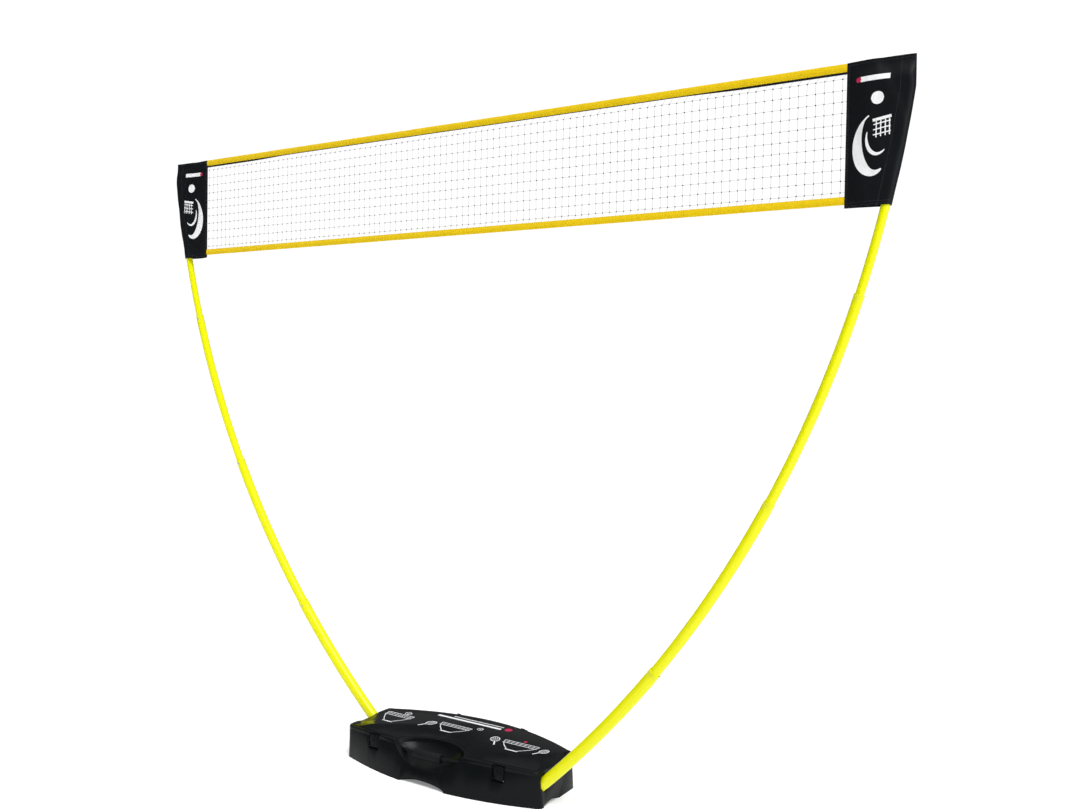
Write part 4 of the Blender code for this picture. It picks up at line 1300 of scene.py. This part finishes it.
class BuildEndPanels(bpy.types.Operator):
    """Sew the two black pockets that slip over the pole tips"""

    bl_idname = "net_stand.end_panels"
    bl_label = "End panels"

    def execute(self, context):
        for side, sign in SIDES:
            self.sew(side, sign)
        return {"FINISHED"}

    def size_up(self, side):
        low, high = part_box(f"{side}_end_panel")
        self.inner = min(abs(low.x), abs(high.x))
        self.outer = max(abs(low.x), abs(high.x))
        self.low, self.high = low.z, high.z
        self.beyond = self.outer - pole_reach(TIP_Z) - 0.0002

    def edge(self, z):
        """The outer edge of the pocket, which follows the pole up to its tip."""
        return pole_reach(min(z, TIP_Z)) + self.beyond

    def half(self, x, z):
        """Half the pocket's depth at a place on it, before the cloth's ripple."""
        full = looks("panels").fullness
        centre = self.edge(z) - POLE_TO_EDGE
        over = min(1.0, max(0.0, (self.high - POCKET_HEAD - z) / POCKET_EASE))
        over = over * over * (3 - 2 * over)
        if x > centre:
            share = min(1.0, (x - centre) / POLE_TO_EDGE)
            depth = sqrt(max(0.0, 1.0 - share ** 2))
        else:
            share = max(0.0, (centre - x) / (centre - self.inner))
            depth = 1.0 - share ** 2.5
        return POCKET_FLAT + (full - POCKET_FLAT) * depth * (0.10 + 0.90 * over)

    def pull(self, x, z):
        """Folds that run down from the corners and gather at the outer edge."""
        share_x = (x - self.inner) / (self.outer - self.inner)
        fold = noise.noise(Vector((x * 24.0 + z * 8.0, z * 7.0, 1.7)))
        small = noise.noise(Vector((x * 60.0, z * 36.0, 5.2)))
        still = min(1.0, share_x / 0.2) * min(1.0, (1.02 - share_x) / 0.2)
        lean = (x - pole_reach(TIP_Z)) * tan(POLE_TURN) * min(1.0, share_x / 0.3)
        return (0.0042 * fold + 0.0010 * small) * still + lean

    def sew(self, side, sign):
        self.size_up(side)
        rows, across, bend = 84, 34, 12
        rings, flat = [], []
        for i in range(rows + 1):
            z = self.low + (self.high - self.low) * i / rows
            edge = self.edge(z)
            centre = edge - POLE_TO_EDGE
            xs = [self.inner + (centre - self.inner) * j / across for j in range(across + 1)]
            xs += [centre + POLE_TO_EDGE * sin(pi / 2 * j / bend) for j in range(1, bend)]
            front = [(x, -self.half(x, z) + self.pull(x, z)) for x in xs]
            back = [(x, self.half(x, z) + self.pull(x, z)) for x in reversed(xs)]
            loop = front + [(edge, self.pull(edge, z))] + back
            ring, run = [], 0.0
            for j, (x, y) in enumerate(loop):
                if j:
                    run += hypot(x - loop[j - 1][0], y - loop[j - 1][1])
                ring.append((sign * x, sign * y, z))
                flat.append((run, z))
            rings.append(ring)
        cut_width = max(run for run, _ in flat)
        name = f"{side}_end_panel"
        mesh = lofted(name, rings, closed_ring=False, flat=flat)
        item = add_item(f"{name}_piece", mesh)
        wall = item.modifiers.new("cloth", "SOLIDIFY")
        wall.thickness = PANEL_CLOTH
        wall.offset = 1.0
        cloth_smooth(item, "panel_fabric")
        hand_over(item, "net", "panel_fabric", name)
        area = sum(p.area for p in mesh.polygons)
        min(area, cut_width * (self.high - self.low))
        self.hem(side, sign)
        self.print_ball(side, sign)

    def face_line(self, points, sign, face, rise):
        """Points on one face of the pocket, in space."""
        line = []
        for x, z in points:
            y = face * (self.half(x, z) + rise) + self.pull(x, z)
            line.append((sign * x, sign * y, z))
        return line

    def hem(self, side, sign):
        """Rows of stitches along the foot, the top and the inner edge, on both faces."""
        foot, low = self.low + HEM_FOOT, self.low + HEM_LOW
        head = self.high - HEM_HEAD
        inner, inmost = self.inner + HEM_INNER, self.inner + HEM_INNER_LOW
        outer = self.edge(foot) - HEM_OUTER
        routes = {
            "foot": [(inner, foot), (outer, foot)],
            "foot_low": [(inner, low), (outer, low)],
            "head": [(inner, head), (self.edge(head) - HEM_OUTER, head)],
            "inner": [(inner, low), (inner, head)],
            "inner_low": [(inmost, low), (inmost, head)],
            "sleeve": [(self.edge(z) - SLEEVE_SEAM, z) for z in
                       (self.low + (head - self.low) * t / 20 for t in range(21))],
        }
        for face, tag in ((-1, "front"), (1, "back")):
            for route, points in routes.items():
                line = self.face_line(densified(points, 0.003), sign, face, CLOTH_LIFT)
                stitched(f"{side}_{tag}_{route}_stitches", line, "net", "black_thread",
                         "panel_fabric")

    def print_ball(self, side, sign):
        """A ball that flies over a net, printed on both faces."""
        tall = self.high - self.low
        middle = (self.inner + self.edge(self.low + tall * 0.6) - 0.012) / 2

        def across(share):
            return middle + share * 0.1

        def up(share):
            return self.low + tall * share

        for face, tag in ((-1, "front"), (1, "back")):
            turn = sign * face

            def put(points):
                return [(across(-turn * x), up(y)) for x, y in points]

            def drawn(start, end, width):
                return densified(put([start, end]), 0.004), width

            def lift(x, z, rise):
                y = face * (self.half(x, z) + PRINT_LIFT + rise) + self.pull(x, z)
                return (sign * x, sign * y, z)

            swoosh = [(0.46 * cos(a), 0.42 + 0.20 * sin(a)) for a in
                      (radians(-62 - 190 * t / 24) for t in range(25))]
            swell = [0.004 + 0.026 * sin(pi * min(1.0, t / 24 * 1.08)) for t in range(25)]
            second = [(0.10 + 0.30 * cos(a), 0.46 + 0.115 * sin(a)) for a in
                      (radians(-50 - 150 * t / 16) for t in range(17))]
            thin = [0.002 + 0.008 * sin(pi * t / 16) for t in range(17)]
            strokes = [(put(swoosh), swell), (put(second), thin)]
            strokes += [drawn((-0.02, y), (0.44, y + 0.02), 0.0030)
                        for y in (0.475, 0.51, 0.545)]
            strokes += [drawn((x, 0.455 + 0.04 * x), (x, 0.565 + 0.04 * x), 0.0030)
                        for x in (0.06, 0.18, 0.30, 0.41)]
            strokes.append(drawn((-0.04, 0.575), (0.46, 0.595), 0.0080))
            strokes.append(drawn((-0.40, 0.865), (0.40, 0.865), 0.0150))
            ball = (across(-turn * 0.08), up(0.725))
            printed(f"{side}_{tag}_print", strokes, [(ball, 0.0175)], lift, CLOTH_INK_THICK,
                    "cloth_ink", "net", "panel_fabric")
            spot = (across(-turn * -0.455), up(0.865))
            printed(f"{side}_{tag}_accent", [], [(spot, 0.0075)], lift, CLOTH_INK_THICK,
                    "accent_ink", "net", "panel_fabric")


# ---------------------------------------------------------------- add-on
GROUPS = (("case", CaseLooks), ("poles", PoleLooks), ("net", NetLooks),
          ("panels", PanelLooks), ("stage", StageLooks))
OPERATORS = (BuildStage, BuildCase, BuildLid, BuildHandle, BuildLatches, BuildHinges,
             BuildPoles, BuildFittings, BuildNetting, BuildTapes, BuildEndPanels)


class NetStandPanel(bpy.types.Panel):
    """The pieces of the net stand, in the order they are made"""

    bl_idname = "VIEW3D_PT_net_stand"
    bl_label = "Net Stand"
    bl_space_type = "VIEW_3D"
    bl_region_type = "UI"
    bl_category = "Net Stand"

    def draw(self, context):
        for operator in OPERATORS:
            self.layout.operator(operator.bl_idname)
        for key, group in GROUPS:
            box = self.layout.box()
            box.label(text=key.title())
            for name in group.__annotations__:
                box.prop(looks(key), name)


def register():
    for key, group in GROUPS:
        bpy.utils.register_class(group)
        setattr(bpy.types.Scene, f"net_stand_{key}", PointerProperty(type=group))
    for item in (*OPERATORS, NetStandPanel):
        bpy.utils.register_class(item)


def unregister():
    for item in reversed((*OPERATORS, NetStandPanel)):
        bpy.utils.unregister_class(item)
    for key, group in reversed(GROUPS):
        delattr(bpy.types.Scene, f"net_stand_{key}")
        bpy.utils.unregister_class(group)


def main():
    register()
    for operator in OPERATORS:
        module, name = operator.bl_idname.split(".")
        getattr(getattr(bpy.ops, module), name)()


if __name__ == "__main__":
    main()
